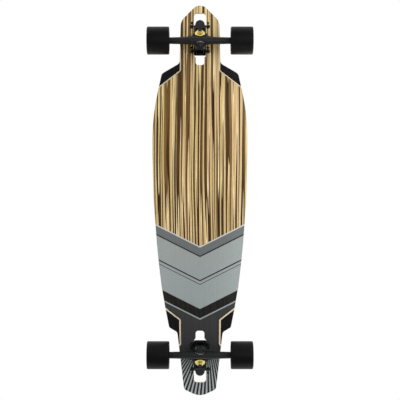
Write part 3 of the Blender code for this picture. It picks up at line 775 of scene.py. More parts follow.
def deck_outline(inset):
    corners = in_mm(DECK_EDGE)
    left = [(-x, y, radius) for x, y, radius in reversed(corners[1:-1])]
    return moved_in(rounded(corners + left, closed=True, arc_step=math.radians(4)), inset)


def quarter_round(radius, steps):
    """How far in and how far up the points of a rounded lower edge are."""
    turns = [math.pi / 2 * step / steps for step in range(steps + 1)]
    return [(radius * (1 - math.sin(turn)), radius * (1 - math.cos(turn))) for turn in turns]


def deck_blank():
    """The flat board with its lower and upper edges rounded."""
    lower = quarter_round(UNDER_ROUND, 5)
    upper = quarter_round(UPPER_ROUND, 3)
    levels = [(DECK_BOTTOM + up, EDGE_SANDED + inset) for inset, up in lower]
    levels += [(DECK_TOP - up, EDGE_SANDED + inset) for inset, up in reversed(upper)]
    return stacked(levels, deck_outline)


def slot_outline(centre, facing, more):
    """The outline of the cut-out that a truck drops through, wider all round by a little more."""
    wide = SLOT_HALF_WIDTH + more
    narrow = TONGUE_HALF_WIDTH + more
    length = SLOT_HALF_LENGTH + more
    right = [
        (wide, length, SLOT_ROUND),
        (wide, -length + TONGUE_LENGTH + SHOULDER_LENGTH, SLOT_CORNER),
        (narrow, -length + TONGUE_LENGTH, SLOT_CORNER),
        (narrow, -length, SLOT_ROUND - 1 * MM),
    ]
    corners = right + [(-x, y, r) for x, y, r in reversed(right)]
    return [(x, centre + facing * y) for x, y in rounded(corners, closed=True, arc_step=math.radians(8))]


def slot_cutter(centre, facing):
    """A cutter for a slot that also chamfers its rim on both faces."""
    out = RIM_SOFTENING + BEYOND
    levels = [
        (DECK_BOTTOM - BEYOND, out),
        (DECK_BOTTOM + RIM_SOFTENING, 0),
        (DECK_TOP - RIM_SOFTENING, 0),
        (DECK_TOP + BEYOND, out),
    ]
    return stacked(levels, lambda more: slot_outline(centre, facing, more))


def hole_cutter(x, y):
    """A cutter for a bolt hole that also chamfers its rim on both faces."""
    soft = 0.5 * MM
    profile = [
        (0, DECK_BOTTOM - BEYOND),
        (BOLT_HOLE_RADIUS + soft + BEYOND, DECK_BOTTOM - BEYOND),
        (BOLT_HOLE_RADIUS, DECK_BOTTOM + soft),
        (BOLT_HOLE_RADIUS, DECK_TOP - soft),
        (BOLT_HOLE_RADIUS + soft + BEYOND, DECK_TOP + BEYOND),
        (0, DECK_TOP + BEYOND),
    ]
    return turned(profile, 24, Matrix.Translation((x, y, 0)))


def bolt_places():
    """(x, y) of a truck's four bolts, from the middle of its pattern."""
    for side in (-1, 1):
        for end in (-1, 1):
            yield side * BOLT_ACROSS / 2, end * BOLT_ALONG / 2


def deck_hole_places():
    for _, centre, facing in truck_centres():
        for x, y in bolt_places():
            for spare in (0, SPARE_HOLE_STEP):
                yield x, centre + facing * (y + spare)


def beside(path, distance):
    """An open path moved sideways, to the right of its run."""
    points = [Vector(point) for point in path]
    moved = []
    for index, point in enumerate(points):
        before = points[max(index - 1, 0)]
        after = points[min(index + 1, len(points) - 1)]
        along = (after - before).normalized()
        moved.append((point.x + along.y * distance, point.y - along.x * distance))
    return moved


def well_path(line):
    """The path where a wheel well starts, and +1 or -1 for the side of it that the well is on."""
    outward = 1 if line[0][1] < line[-1][1] else -1
    return rounded(in_mm(line), arc_step=math.radians(12)), outward


def well_cutter(line, wall, side):
    """A carved wheel well: a shallow floor and a wall that slopes up to the given line."""
    path, outward = well_path(line)
    far = 170 * MM
    levels = [
        (DECK_BOTTOM - WELL_DEPTH, -wall),
        (DECK_BOTTOM, 0),
        (DECK_BOTTOM + 0.8 * WELL_DEPTH, 0.8 * wall),
        (DECK_BOTTOM + WELL_DEPTH, 1.3 * wall),
    ]
    rings = []
    for z, out in levels:
        moved = beside(path, outward * out)
        closing = [(far, moved[-1][1]), (far, moved[0][1])]
        rings.append([(side * x, y, z) for x, y in moved + closing])
    return lofted(rings)


def ink_line_cutter(line, side):
    """A hair-deep groove that follows a well on its inner side, and takes its black paint."""
    path, outward = well_path(line)
    inner = beside(path, -outward * INK_LINE_WIDTH)
    outer = beside(path, outward * REAR_WELL_WALL / 2)
    outline = [(side * x, y) for x, y in inner + outer[::-1]]
    return prism(outline, DECK_BOTTOM - BEYOND, DECK_BOTTOM + INK_LINE_DEPTH)


# The walls of the bolt holes take the black well paint as painted shade inside them.
VENEERED, PLYWOOD, PAINT_OR_HOLE_SHADE, CARVED = range(4)  # the finishes of the deck's faces
FLAT_DOWN = -0.97  # highest z of a normal that points straight down
UNDERSIDE = -0.35  # and of the normal of a face that the veneer can cover
VENEER_REACH = 0.7 * UNDER_ROUND  # how far up the rounded edge the veneer goes
SLOPING = 0.3  # least z, up or down, of the normal of a face that isn't upright


def deck_face_kind(face):
    """Which finish a face of the flat deck takes."""
    height = face.center.z - DECK_BOTTOM
    tilt = face.normal.z
    painted = min(abs(height - WELL_DEPTH), abs(height - INK_LINE_DEPTH)) < 0.02 * MM
    # The walls of the bolt holes are painted black as shade.
    if tilt < FLAT_DOWN and painted or abs(tilt) < SLOPING and in_bolt_hole(face.center):
        return PAINT_OR_HOLE_SHADE
    if FLAT_DOWN < tilt < -SLOPING and on_well_wall(face.center):
        return CARVED
    if tilt < UNDERSIDE and height < VENEER_REACH:
        return VENEERED
    return PLYWOOD


def in_bolt_hole(place):
    reach = BOLT_HOLE_RADIUS + 0.2 * MM
    return any((place.xy - Vector(middle)).length < reach for middle in deck_hole_places())


def on_well_wall(place):
    """Whether a place on the underside is close to the line where a wheel well starts."""
    here = Vector((abs(place.x), place.y))
    for line, wall in WELLS:
        path = [Vector(point) for point in well_path(line)[0]]
        for start, end in zip(path, path[1:]):
            nearest, share = intersect_point_line(here, start, end)
            if 0 <= share <= 1 and (here - nearest.xy).length < 1.1 * wall:
                return True
    return False


def make_deck():
    cutters = [slot_cutter(centre, facing) for _, centre, facing in truck_centres()]
    cutters += [hole_cutter(x, y) for x, y in deck_hole_places()]
    for side in (-1, 1):
        cutters.append(ink_line_cutter(REAR_WELL, side))
        cutters += [well_cutter(line, wall, side) for line, wall in WELLS]
    mesh = sort_faces(combined(deck_blank(), cut=cutters), deck_face_kind)
    edge = ply_finish("Plywood edge", srgb(238, 212, 168), srgb(208, 174, 128))
    wall = ply_finish("Well wall", srgb(242, 226, 200), srgb(224, 204, 174))
    finishes = [underside_finish(), edge, well_paint_and_hole_shade_finish(), wall]
    deck = piece_from("deck_board", pressed(mesh), "board", finishes, "veneer")
    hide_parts("deck")


def make_grip_tape():
    low = GRIP_BOTTOM
    high = GRIP_BOTTOM + GRIP_THICKNESS
    soft = 0.25 * MM
    levels = [(low, GRIP_INSET), (high - soft, GRIP_INSET), (high, GRIP_INSET + soft)]
    bottom = low - BEYOND
    top = high + BEYOND
    cutters = []
    for _, centre, facing in truck_centres():
        cutters.append(prism(slot_outline(centre, facing, GRIP_ROOM), bottom, top))
        for x, y in bolt_places():
            cutters.append(rod(BOLT_HOLE_RADIUS, bottom, top, 16, Matrix.Translation((x, centre + y, 0))))
    hole = Matrix.Translation((0, MEDALLION_Y, 0))
    cutters.append(rod(MEDALLION_RADIUS + GRIP_ROOM, bottom, top, 128, hole))
    sheet = pressed(combined(stacked(levels, deck_outline), cut=cutters))
    piece = piece_from("grip_sheet", sheet, "board", [grip_finish()], "grip")
    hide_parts("grip_tape")


# Engraving of the medallion: the middle and half width of each ring, as shares of its radius
MEDALLION_RINGS = [(0.855, 0.018), (0.755, 0.012), (0.66, 0.012), (0.20, 0.016)]
MEDALLION_TICKS = 48
TICKS_FROM = 0.785
TICKS_TO = 0.82
MEDALLION_POINTS = 8
POINT_ROOT = 0.22  # of the star's points, and where they end
POINT_TIP = 0.62
POINT_HALF_WIDTH = 0.085  # at the root
LINE_HALF_WIDTH = 0.014  # of the ticks and of the star's outlines
ENGRAVING_DEPTH = 0.45 * MM
MEDALLION_SIDES = 576
MEDALLION_STEPS = 150  # from the middle to the edge
# The rounded edge: shares of the radius, and how far down each is in millimetres
MEDALLION_EDGE = [(RIM_OUTER, 0), (0.968, 0.25), (0.983, 0.55), (0.994, 0.85), (1.0, 1.15), (1.0, 1.48)]


def engraved_depth(share, turn):
    """How deep the medallion is cut, from 0 to 1, at a share of its radius and an angle.

    One half of each point of the star is cut away, and the other half is outlined.
    """
    depth = 0.0
    for place, half in MEDALLION_RINGS:
        depth = max(depth, 1 - abs(share - place) / half)
    tick = math.tau / MEDALLION_TICKS
    off_tick = abs((turn + tick / 2) % tick - tick / 2) * share
    if TICKS_FROM < share < TICKS_TO:
        depth = max(depth, 1 - off_tick / LINE_HALF_WIDTH)
    point = math.tau / MEDALLION_POINTS
    off_point = ((turn + point / 2) % point - point / 2) * share
    if POINT_ROOT < share < POINT_TIP:
        half_width = POINT_HALF_WIDTH * (POINT_TIP - share) / (POINT_TIP - POINT_ROOT)
        depth = max(depth, 1 - abs(abs(off_point) - half_width) / LINE_HALF_WIDTH)
        if 0 < off_point < half_width:
            depth = 1
    return min(1.0, max(0.0, depth) * 1.6)


def make_medallion():
    """A lacquered disc engraved with rings, ticks and an eight-pointed star, its edge bevelled."""
    middle = Vector((0, MEDALLION_Y, 0))
    engraved = range(1, math.ceil(RIM_OUTER * MEDALLION_STEPS))
    rings = []
    for share, drop in [(index / MEDALLION_STEPS, None) for index in engraved] + MEDALLION_EDGE:
        ring = []
        for step in range(MEDALLION_SIDES):
            turn = math.tau * step / MEDALLION_SIDES
            depth = engraved_depth(share, turn) * ENGRAVING_DEPTH if drop is None else drop * MM
            x = MEDALLION_RADIUS * share * math.sin(turn)
            y = MEDALLION_RADIUS * share * math.cos(turn)
            ring.append((x, y + MEDALLION_Y, MEDALLION_TOP - depth))
        rings.append(ring)
    mesh = sort_faces(
        lofted(rings), lambda face: (face.center - middle).xy.length > RIM_OUTER * MEDALLION_RADIUS
    )
    finishes = [medallion_finish(), scorched_and_shaded_edge_finish()]
    piece = piece_from("medallion_disc", mesh, "board", finishes, "golden_wood", sharp=60)
    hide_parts("medallion")


# Trucks: places are in the truck's own frame, with its origin in the middle of the axle,
# Y away from the middle of the board and Z up
AXLE_INBOARD = 11 * MM  # from the middle of the bolt pattern
WHEEL_RADIUS = 35 * MM
STEER_ANGLE = math.radians(47)  # of the steering axis above the level
STEER = Vector((0, math.cos(STEER_ANGLE), math.sin(STEER_ANGLE)))
KINGPIN = Vector((0, math.sin(STEER_ANGLE), -math.cos(STEER_ANGLE)))
RING_CENTRE = Vector((0, 9.4, 20.4)) * MM
AXLE_FOOT = RING_CENTRE + STEER * (-RING_CENTRE).dot(STEER)  # nearest point of the axis to the axle
ON_KINGPIN = pointing(KINGPIN, RING_CENTRE)
IN_PIVOT = pointing(-STEER, AXLE_FOOT)
ACROSS = Matrix.Rotation(math.radians(90), 4, "Y")  # turns Z into X

RING_HALF_THICKNESS = 6.5 * MM
RING_RADIUS = 21 * MM
RING_HOLE = 8.5 * MM
RING_SEAT = 3.7 * MM
BUSHING_RADIUS = 12 * MM
BUSHING_HOLE = 5.3 * MM
BOARD_BUSHING = (-15.6 * MM, -RING_SEAT - 0.1 * MM)
ROAD_BUSHING = (RING_SEAT + 0.1 * MM, 14.6 * MM)
WASHER_RADIUS = 12.9 * MM
WASHER_THICKNESS = 1.8 * MM
WASHER_LIP = 2.2 * MM
WASHER_PLAY = 0.1 * MM
SEAT = -18 * MM  # of the kingpin, where the board-side washer lies
SEAT_RADIUS = 14.5 * MM
SEAT_THICKNESS = 8 * MM
SEAT_UNDER = SEAT - SEAT_THICKNESS
HEAD_ROOM_RADIUS = 9.4 * MM  # of the hollow for the kingpin's head
NUT_PLAY = 0.1 * MM
KINGPIN_RADIUS = 4.75 * MM
KINGPIN_END = 26.5 * MM
KINGPIN_HEAD_RADIUS = 8.1 * MM
KINGPIN_HEAD_HEIGHT = 6 * MM
KINGPIN_NUT_RADIUS = 8.2 * MM
KINGPIN_NUT_HEIGHT = 7 * MM
KINGPIN_NUT_START = ROAD_BUSHING[1] + WASHER_THICKNESS + 0.4 * MM

CUP_LIP = 10.4 * MM
CUP_LIP_RADIUS = 12.6 * MM
CUP_LIP_THICKNESS = 1.6 * MM
CUP_RADIUS = 10 * MM
CUP_BOTTOM = 20.2 * MM
NOSE_RADIUS = 6.6 * MM
NOSE_TIP = 18.3 * MM
HOUSING_RADIUS = 13 * MM
HOUSING_BOTTOM = 24 * MM

FLANGE_TOP = 60 * MM
FLANGE_BOTTOM = 53.9 * MM
FLANGE_HALF_WIDTH = 29.3 * MM
FLANGE_HALF_LENGTH = 38.4 * MM
FLANGE_ROUND = 8.5 * MM
BLOCK_HALF_WIDTH = 14.9 * MM
LEG_HALF_WIDTH = 13.4 * MM
POCKET_HALF_WIDTH = 10.4 * MM
BOSS_RADIUS = 12.3 * MM
BOSS_Y = 49.5 * MM
BOSS_HEIGHT = 10 * MM
BOSS_TOP = FLANGE_TOP - 0.8 * MM
MARK_INNER = 3.1 * MM  # radii of the ring pressed into the boss
MARK_OUTER = 3.9 * MM
GROOVE_HALF_WIDTH = 2.6 * MM
GROOVE_DEPTH = 2.2 * MM
GROOVE_LENGTH = 40 * MM
GROOVE_ROUND = 2.4 * MM
LEG_RECESS_HALF_WIDTH = 8.6 * MM
BLOCK_RECESS_HALF_WIDTH = 11.4 * MM

# Side profiles of the baseplate as (y, z) in millimetres: the block through the deck, the leg
# that holds the pivot cup, the pocket open at the top, and the recesses in the leg and under
# the block
BLOCK = [(46, 56), (46, 44.5), (41, 41.6), (-29.6, 41.6), (-29.6, 56)]
LEG = [
    (4.5, 43),
    (-13.9, 22.3),
    (-15.6, 14.6),
    (-23.4, 5.6),
    (-20, 1),
    (-26.5, -7.5),
    (-29.6, -3),
    (-29.6, 43),
]
POCKET = [(42, 65), (42, 50), (8, 49.5), (0, 48.3), (-19.1, 27.9), (-20.5, 20), (-25.5, 18), (-25.5, 65)]
LEG_RECESS = [(-35, 38), (-27, 34), (-27, -20), (-35, -20)]
BLOCK_RECESS = [(13, 36), (13, 45), (17, 46), (37, 46), (39.5, 36)]

BOLT_RADIUS = 2.4 * MM
BOLT_HEAD_RADIUS = 4.9 * MM
BOLT_HEAD_HEIGHT = 2.8 * MM
SOCKET_RADIUS = 2.7 * MM
SOCKET_DEPTH = 1.8 * MM
LOCK_NUT_RADIUS = 5.4 * MM
LOCK_NUT_HEIGHT = 5 * MM
LOCK_NUT_TOP = 41.3 * MM
BOLT_END = 39.4 * MM - LOCK_NUT_HEIGHT
BOLT_THREAD_TOP = 42 * MM

# Hanger, in millimetres: half of its tube as (x, radius), half of the yoke's outline with corner
# radii, and what is cut away on each side of the ring as (radius, height): room for the washers
# and bushings to lean in, and their seats
HANGER_TUBE = [(16, 10), (42, 9.2), (88.4, 8), (90.4, 7.4)]
YOKE = [(52, -3, 0), (52, 4, 3), (22, 22, 9), (17, 28, 0)]
RING_ROOM = [(0, 4.1), (12.8, 4.1), (13.2, 5.2), (15.6, 7.2), (17.8, 9.4), (17.8, 30), (0, 30)]
RING_SEATS = [(0, 3.7), (12.6, 3.7), (12.6, 4.6), (13.4, 5.4), (0, 5.4)]
HANGER_HALF = HANGER_TUBE[-1][0] * MM
YOKE_HALF_THICKNESS = 6.5 * MM

AXLE_RADIUS = 4 * MM
AXLE_HALF = 126.5 * MM
AXLE_THREAD = 11 * MM  # its length at each end
WHEEL_X = 105.5 * MM  # the middle of its width
WHEEL_WIDTH = 56 * MM
LIP_INNER = 27 * MM  # of the wheel's flat faces
LIP_OUTER = 33.2 * MM
LIP_GROOVE = 28 * MM
CORE_RADIUS = 17 * MM
CORE_WEB = 9.2 * MM  # inner radius of the core between the bearings
BEARING_RADIUS = 11 * MM
BEARING_WIDTH = 7 * MM
BEARING_BORE = 4.1 * MM
SHIELD_INNER = 6.2 * MM
SHIELD_OUTER = 9.2 * MM
INNER_BEARING_X = 92 * MM
SPACER_LENGTH = 10 * MM
AXLE_NUT_RADIUS = 7.5 * MM
AXLE_NUT_HEIGHT = 6.4 * MM
SPEED_RING_RADIUS = 6.6 * MM
SPEED_RING_THICKNESS = 1.1 * MM
RING_PLAY = 0.15 * MM
CASTING_VOXEL = 0.55 * MM  # the castings' skins are remade in cells of this size
CASTING_PASSES = 7  # of smoothing over them


# Finishes of the trucks and wheels


def casting_finish(name, colour, roughness, specular):
    """Black paint over a casting: a pebbled skin, soft cloudy gloss, and convex edges made lighter grey,
    partly as rubbing and partly as a painted highlight.
    """
    material, tree, shader = new_material(name)
    skin = use_group(tree, SKIN, Grain_size=1.1)
    marks = use_group(tree, HANDLING, Size=0.7, Amount=0.25)
    rub_and_highlight = use_group(tree, EDGE_RUB_AND_HIGHLIGHT, Reach=0.6)["Rub_and_highlight"]
    paint = shaded(tree, colour, marks["Shade"])
    # Convex edges turn bluish grey: partly rubbed paint, partly a painted highlight.
    paint = blended(tree, times(tree, rub_and_highlight, 0.5), paint, srgb(70, 72, 78))
    rough = plus(tree, plus(tree, roughness, marks["Roughness change"]), times(tree, rub_and_highlight, -0.06))
    normal = bumped(tree, skin["Height"], 0.22, 0.12 * MM)
    surface(tree, shader, paint, rough, normal, specular=specular)
    return material


def urethane_finish(name, colour, roughness, grain, specular=0.5):
    """Moulded urethane with fine lines left by the mould, and a little dust in its grain."""
    material, tree, shader = new_material(name)
    lines = noise(tree, stretched(tree, (2400, 60, 60)), detail=2)
    skin = use_group(tree, SKIN, Grain_size=grain)
    marks = use_group(tree, HANDLING, Size=1.2, Amount=0.3)
    body = shaded(tree, colour, marks["Shade"])
    body = blended(tree, times(tree, skin["Speckle"], 0.05), body, srgb(120, 118, 114))
    rough = plus(tree, roughness, marks["Roughness change"])
    height = plus(tree, skin["Height"], times(tree, lines, 0.8))
    normal = bumped(tree, height, 0.18, 0.10 * MM)
    surface(tree, shader, body, rough, normal, specular=specular)
    return material


def metal_finish(name, colour, roughness, clouding=0.12, metallic=1.0):
    """Plated or bare metal: a fine skin, clouded plating, and brighter edges, partly worn and partly a
    painted highlight.
    """
    material, tree, shader = new_material(name)
    marks = use_group(tree, HANDLING, Size=0.35, Amount=clouding)
    rub_and_highlight = use_group(tree, EDGE_RUB_AND_HIGHLIGHT, Reach=0.4)["Rub_and_highlight"]
    skin = use_group(tree, SKIN, Grain_size=0.35)
    plate = shaded(tree, colour, marks["Shade"])
    brighter = tuple(min(1.0, 1.35 * level + 0.04) for level in colour[:3]) + (1,)
    # Convex edges are made brighter: partly worn plating, partly a painted highlight.
    plate = blended(tree, times(tree, rub_and_highlight, 0.6), plate, brighter)
    rough = plus(tree, roughness, marks["Roughness change"])
    normal = bumped(tree, skin["Height"], 0.10, 0.05 * MM)
    surface(tree, shader, plate, rough, normal)
    shader.inputs["Metallic"].default_value = metallic
    return material


FINISHES = {
    "casting": casting_finish("Black casting", srgb(16, 17, 19), roughness=0.40, specular=0.28),
    # Painted shade: the pocket and the back of the leg, darker and without reflection.
    "pocket": casting_finish("Pocket painted shade", srgb(10, 10, 11), roughness=0.6, specular=0.0),
    "bushing": urethane_finish("Bushing urethane", srgb(18, 18, 19), 0.34, grain=1.2, specular=0.25),
    "cup": urethane_finish("Cup urethane", srgb(226, 226, 220), 0.42, grain=1.2),
    "wheel": urethane_finish("Wheel urethane", srgb(11, 11, 12), 0.42, grain=0.9, specular=0.13),
    "core": urethane_finish("Wheel core", srgb(12, 12, 13), 0.30, grain=1.4, specular=0.25),
    "shield": urethane_finish("Bearing shield", srgb(22, 22, 24), 0.35, grain=0.8, specular=0.4),
    "brass": metal_finish("Yellow plate", srgb(232, 216, 138), 0.24),
    "steel": metal_finish("Bright steel", srgb(206, 207, 210), 0.27),
    "bolt_steel": metal_finish("Bolt steel", srgb(150, 150, 152), 0.24, clouding=0.2),
    "black_steel": metal_finish("Blacked steel", srgb(30, 29, 29), 0.36, clouding=0.15, metallic=0.75),
}


# Truck shapes


def slab(profile, half_width):
    """A side profile of (y, z) millimetres, as thick across the board as two half widths."""
    return lofted([[(x, y, z) for y, z in in_mm(profile)] for x in (-half_width, half_width)])


def both_sides_of_ring(profile):
    """Solids turned about the kingpin from (radius, height) millimetres, one each side of the ring."""
    for side in (-1, 1):
        yield turned([(radius, side * height) for radius, height in in_mm(profile)], 64, ON_KINGPIN)


def cast(solid):
    """A solid under a new skin with soft corners, as a casting has."""

    def soften(helper):
        skin = helper.modifiers.new("skin", "REMESH")
        skin.mode = "VOXEL"
        skin.voxel_size = CASTING_VOXEL
        smooth = helper.modifiers.new("smooth", "SMOOTH")
        smooth.factor = 0.5
        smooth.iterations = CASTING_PASSES

    return modified(solid, soften)


def thread(radius, start, end, pitch=1.0 * MM, depth=0.45 * MM):
    """Profile points of a threaded length, from start to end along the axis."""
    count = round(abs(end - start) / pitch)
    step = (end - start) / count
    points = []
    for index in range(count):
        points.append((radius - depth, start + step * index))
        points.append((radius, start + step * (index + 0.5)))
    points.append((radius - depth, end))
    return points


def nut_mesh(radius, bore, start, height, place=None):
    """A lock nut: chamfered hexagon, round collar and the soft insert inside it."""
    flats = radius * math.cos(math.pi / 6)
    way = math.copysign(1, height)
    chamfer = 0.14 * abs(height) * way
    shoulder = start + 0.66 * height
    end = start + height
    collar = 0.86 * flats
    round_off = 0.35 * MM
    profile = [
        (bore + 0.3 * MM, start),
        (flats, start),
        (radius, start + chamfer, flats),
        (radius, shoulder - chamfer, flats),
        (flats, shoulder, flats),
        (collar + 0.2 * MM, shoulder + 0.1 * chamfer),
        (collar, end - 2 * way * round_off),
        (collar - round_off, end - 0.6 * way * round_off),
        (collar - 3 * round_off, end),
        (bore + 0.5 * MM, end),
        (bore, end - 0.4 * way * MM),
        (bore, start + 0.3 * way * MM),
    ]
    return turned(profile, 96, place)


def baseplate_mesh():
    """Flange, block through the deck, kingpin seat and the leg that holds the pivot cup."""
    corners = [
        (side * FLANGE_HALF_WIDTH, end * FLANGE_HALF_LENGTH, FLANGE_ROUND)
        for side, end in ((1, 1), (1, -1), (-1, -1), (-1, 1))
    ]
    flange_place = Matrix.Translation((0, AXLE_INBOARD, 0))
    flange = prism(rounded(corners, closed=True), FLANGE_BOTTOM, FLANGE_TOP, flange_place)
    lip = CUP_LIP + CUP_LIP_THICKNESS + 0.1 * MM
    housing = [
        (0, lip),
        (HOUSING_RADIUS, lip),
        (HOUSING_RADIUS, lip + 6 * MM),
        (8 * MM, HOUSING_BOTTOM),
        (0, HOUSING_BOTTOM),
    ]
    boss_place = Matrix.Translation((0, BOSS_Y, 0))
    solid = combined(
        flange,
        [
            slab(BLOCK, BLOCK_HALF_WIDTH),
            slab(LEG, LEG_HALF_WIDTH),
            rod(SEAT_RADIUS, SEAT_UNDER - 2 * MM, SEAT, 64, ON_KINGPIN),
            turned(housing, 64, IN_PIVOT),
            rod(BOSS_RADIUS, FLANGE_TOP - BOSS_HEIGHT, BOSS_TOP, 64, boss_place),
        ],
        cut=baseplate_hollows(),
    )
    return sort_faces(combined(cast(solid), cut=baseplate_bores()), in_shade)


def in_shade(face):
    """Whether a face of the baseplate is inside its middle pocket or on the back of its leg, which take a
    darker paint that reflects nothing, as painted shade.
    """
    far = POCKET[0][0] * MM
    near = POCKET[-1][0] * MM
    lowest = 15 * MM
    reach = 0.4 * MM
    above = Vector((0, (far + near) / 2, FLANGE_TOP))
    place = face.center
    faces_back = face.normal.y < -0.6
    if faces_back and place.y < near + reach and abs(place.x) < BLOCK_HALF_WIDTH:
        return True
    if abs(place.x) > POCKET_HALF_WIDTH + reach or not near - reach < place.y < far + reach:
        return False
    return lowest < place.z < BOSS_TOP and face.normal.dot(above - place) > 0


def baseplate_hollows():
    """What the mould leaves open: the pocket, the recesses, the grooves and room for a bolt's head."""
    above = FLANGE_TOP + BEYOND
    hollows = [
        slab(POCKET, POCKET_HALF_WIDTH),
        slab(LEG_RECESS, LEG_RECESS_HALF_WIDTH),
        slab(BLOCK_RECESS, BLOCK_RECESS_HALF_WIDTH),
    ]
    start = AXLE_INBOARD + BOLT_ALONG / 2 - SPARE_HOLE_STEP
    for side in (-1, 1):
        x = side * BOLT_ACROSS / 2
        far = start - GROOVE_LENGTH
        near = start - 6 * MM
        edges = [(1, near), (1, far), (-1, far), (-1, near)]
        corners = [(x + way * GROOVE_HALF_WIDTH, y, GROOVE_ROUND) for way, y in edges]
        hollows.append(prism(rounded(corners, closed=True), FLANGE_TOP - GROOVE_DEPTH, above))
    hollows.append(rod(HEAD_ROOM_RADIUS, SEAT_UNDER - 10 * MM, SEAT_UNDER, 48, ON_KINGPIN))
    return hollows


def baseplate_bores():
    """What is drilled or pressed after casting: bolt holes, the boss's mark and the two bores."""
    above = FLANGE_TOP + BEYOND
    low = 40 * MM
    sink = 0.5 * MM
    bores = []
    spare_y = BOLT_ALONG / 2 - SPARE_HOLE_STEP
    places = list(bolt_places()) + [(side * BOLT_ACROSS / 2, spare_y) for side in (-1, 1)]
    for x, y in places:
        profile = [
            (0, low),
            (BOLT_HOLE_RADIUS, low),
            (BOLT_HOLE_RADIUS, FLANGE_TOP - sink),
            (BOLT_HOLE_RADIUS + sink + BEYOND, above),
            (0, above),
        ]
        bores.append(turned(profile, 32, Matrix.Translation((x, AXLE_INBOARD + y, 0))))
    pressed_to = BOSS_TOP - 0.7 * MM
    mark = [(MARK_INNER, pressed_to), (MARK_OUTER, pressed_to), (MARK_OUTER, above), (MARK_INNER, above)]
    bores.append(turned(mark, 48, Matrix.Translation((0, BOSS_Y + 2 * MM, 0))))
    bores.append(rod(BUSHING_HOLE, SEAT_UNDER - 1 * MM, SEAT + BEYOND, 48, ON_KINGPIN))
    bores.append(rod(CUP_RADIUS + 0.2 * MM, CUP_LIP - BEYOND, CUP_BOTTOM + 0.3 * MM, 64, IN_PIVOT))
    return bores


def yoke_frame():
    """The frame of the yoke's plate: X across, Y from the axle to the ring, Z square to it."""
    first = Vector((1, 0, 0))
    third = first.cross(RING_CENTRE).normalized()
    return Matrix((first, third.cross(first), third)).transposed().to_4x4()


def hanger_mesh():
    """Cross tube, yoke, ring round the kingpin and nose for the pivot cup."""
    right = in_mm(HANGER_TUBE)
    along = [(-x, radius) for x, radius in reversed(right)] + right
    tube = [(0, -HANGER_HALF)] + [(radius, x) for x, radius in along] + [(0, HANGER_HALF)]
    nose = [
        (0, -3 * MM),
        (9.5 * MM, -3 * MM),
        (9 * MM, 6 * MM),
        (NOSE_RADIUS, CUP_LIP - 0.4 * MM),
        (NOSE_RADIUS, CUP_LIP + 4 * MM),
        (0.75 * NOSE_RADIUS, NOSE_TIP - 1.6 * MM),
        (0, NOSE_TIP),
    ]
    half_yoke = in_mm(YOKE)
    other = [(-x, y, radius) for x, y, radius in reversed(half_yoke)]
    outline = rounded(half_yoke) + rounded(other)
    yoke = prism(outline, -YOKE_HALF_THICKNESS, YOKE_HALF_THICKNESS, yoke_frame())
    ring = rod(RING_RADIUS, -RING_HALF_THICKNESS, RING_HALF_THICKNESS, 96, ON_KINGPIN)
    joined = [yoke, ring, turned(nose, 48, IN_PIVOT)]
    rough = combined(turned(tube, 64, ACROSS), joined, cut=both_sides_of_ring(RING_ROOM))
    cuts = [rod(RING_HOLE, -20 * MM, 20 * MM, 64, ON_KINGPIN), *both_sides_of_ring(RING_SEATS)]
    end = HANGER_HALF + BEYOND
    cuts.append(rod(AXLE_RADIUS + 0.15 * MM, -end, end, 48, ACROSS))
    return combined(cast(rough), cut=cuts)


def bushing_mesh(low, high):
    """A barrel-shaped bushing with rounded rims, in rings fine enough to lean."""
    waist = 0.7 * MM
    rim = 1.2 * MM
    bevel = 0.3 * rim
    rings = 10
    narrow = BUSHING_RADIUS - waist
    profile = [(BUSHING_HOLE, low + rim / 2), (BUSHING_HOLE + rim / 2, low)]
    profile += [(narrow - rim, low), (narrow - bevel, low + bevel)]
    for index in range(rings + 1):
        share = index / rings
        bulge = math.sin(math.pi * share)
        height = low + rim + (high - low - 2 * rim) * share
        profile.append((BUSHING_RADIUS - waist * (1 - bulge), height))
    profile += [(narrow - bevel, high - bevel), (narrow - rim, high)]
    profile += [(BUSHING_HOLE + rim / 2, high), (BUSHING_HOLE, high - rim / 2)]
    profile += [(BUSHING_HOLE, high + (low - high) * index / rings) for index in range(2, rings - 1)]
    return turned(profile, 64, ON_KINGPIN)


def washer_mesh(face, side):
    """A cupped washer whose face is against a bushing, with its lip towards the bushing."""
    hole = KINGPIN_RADIUS + 0.2 * MM
    cup = BUSHING_RADIUS + 0.15 * MM
    lip = face - side * WASHER_LIP
    back = face + side * WASHER_THICKNESS
    corners = [
        (hole, face, 0.3 * MM),
        (cup, face, 0.5 * MM),
        (cup, lip, 0.3 * MM),
        (WASHER_RADIUS, lip, 0.3 * MM),
        (WASHER_RADIUS, back, 1.6 * MM),
        (hole, back, 0.4 * MM),
    ]
    return turned(rounded(corners, closed=True, arc_step=math.radians(20)), 96, ON_KINGPIN)


def kingpin_mesh():
    """A bolt with a hexagonal head under the seat, threaded where it passes its nut."""
    head = SEAT_UNDER - 0.1 * MM
    low = head - KINGPIN_HEAD_HEIGHT
    flats = KINGPIN_HEAD_RADIUS * math.cos(math.pi / 6)
    thread_start = KINGPIN_NUT_START - 2 * MM
    profile = [
        (0, low),
        (flats - 0.6 * MM, low),
        (KINGPIN_HEAD_RADIUS, low + 0.9 * MM, flats),
        (KINGPIN_HEAD_RADIUS, head, flats),
        (KINGPIN_RADIUS, head),
        (KINGPIN_RADIUS, thread_start),
        *thread(KINGPIN_RADIUS, thread_start, KINGPIN_END - 0.9 * MM),
        (KINGPIN_RADIUS - 1.3 * MM, KINGPIN_END),
        (0, KINGPIN_END),
    ]
    return turned(profile, 96, ON_KINGPIN)


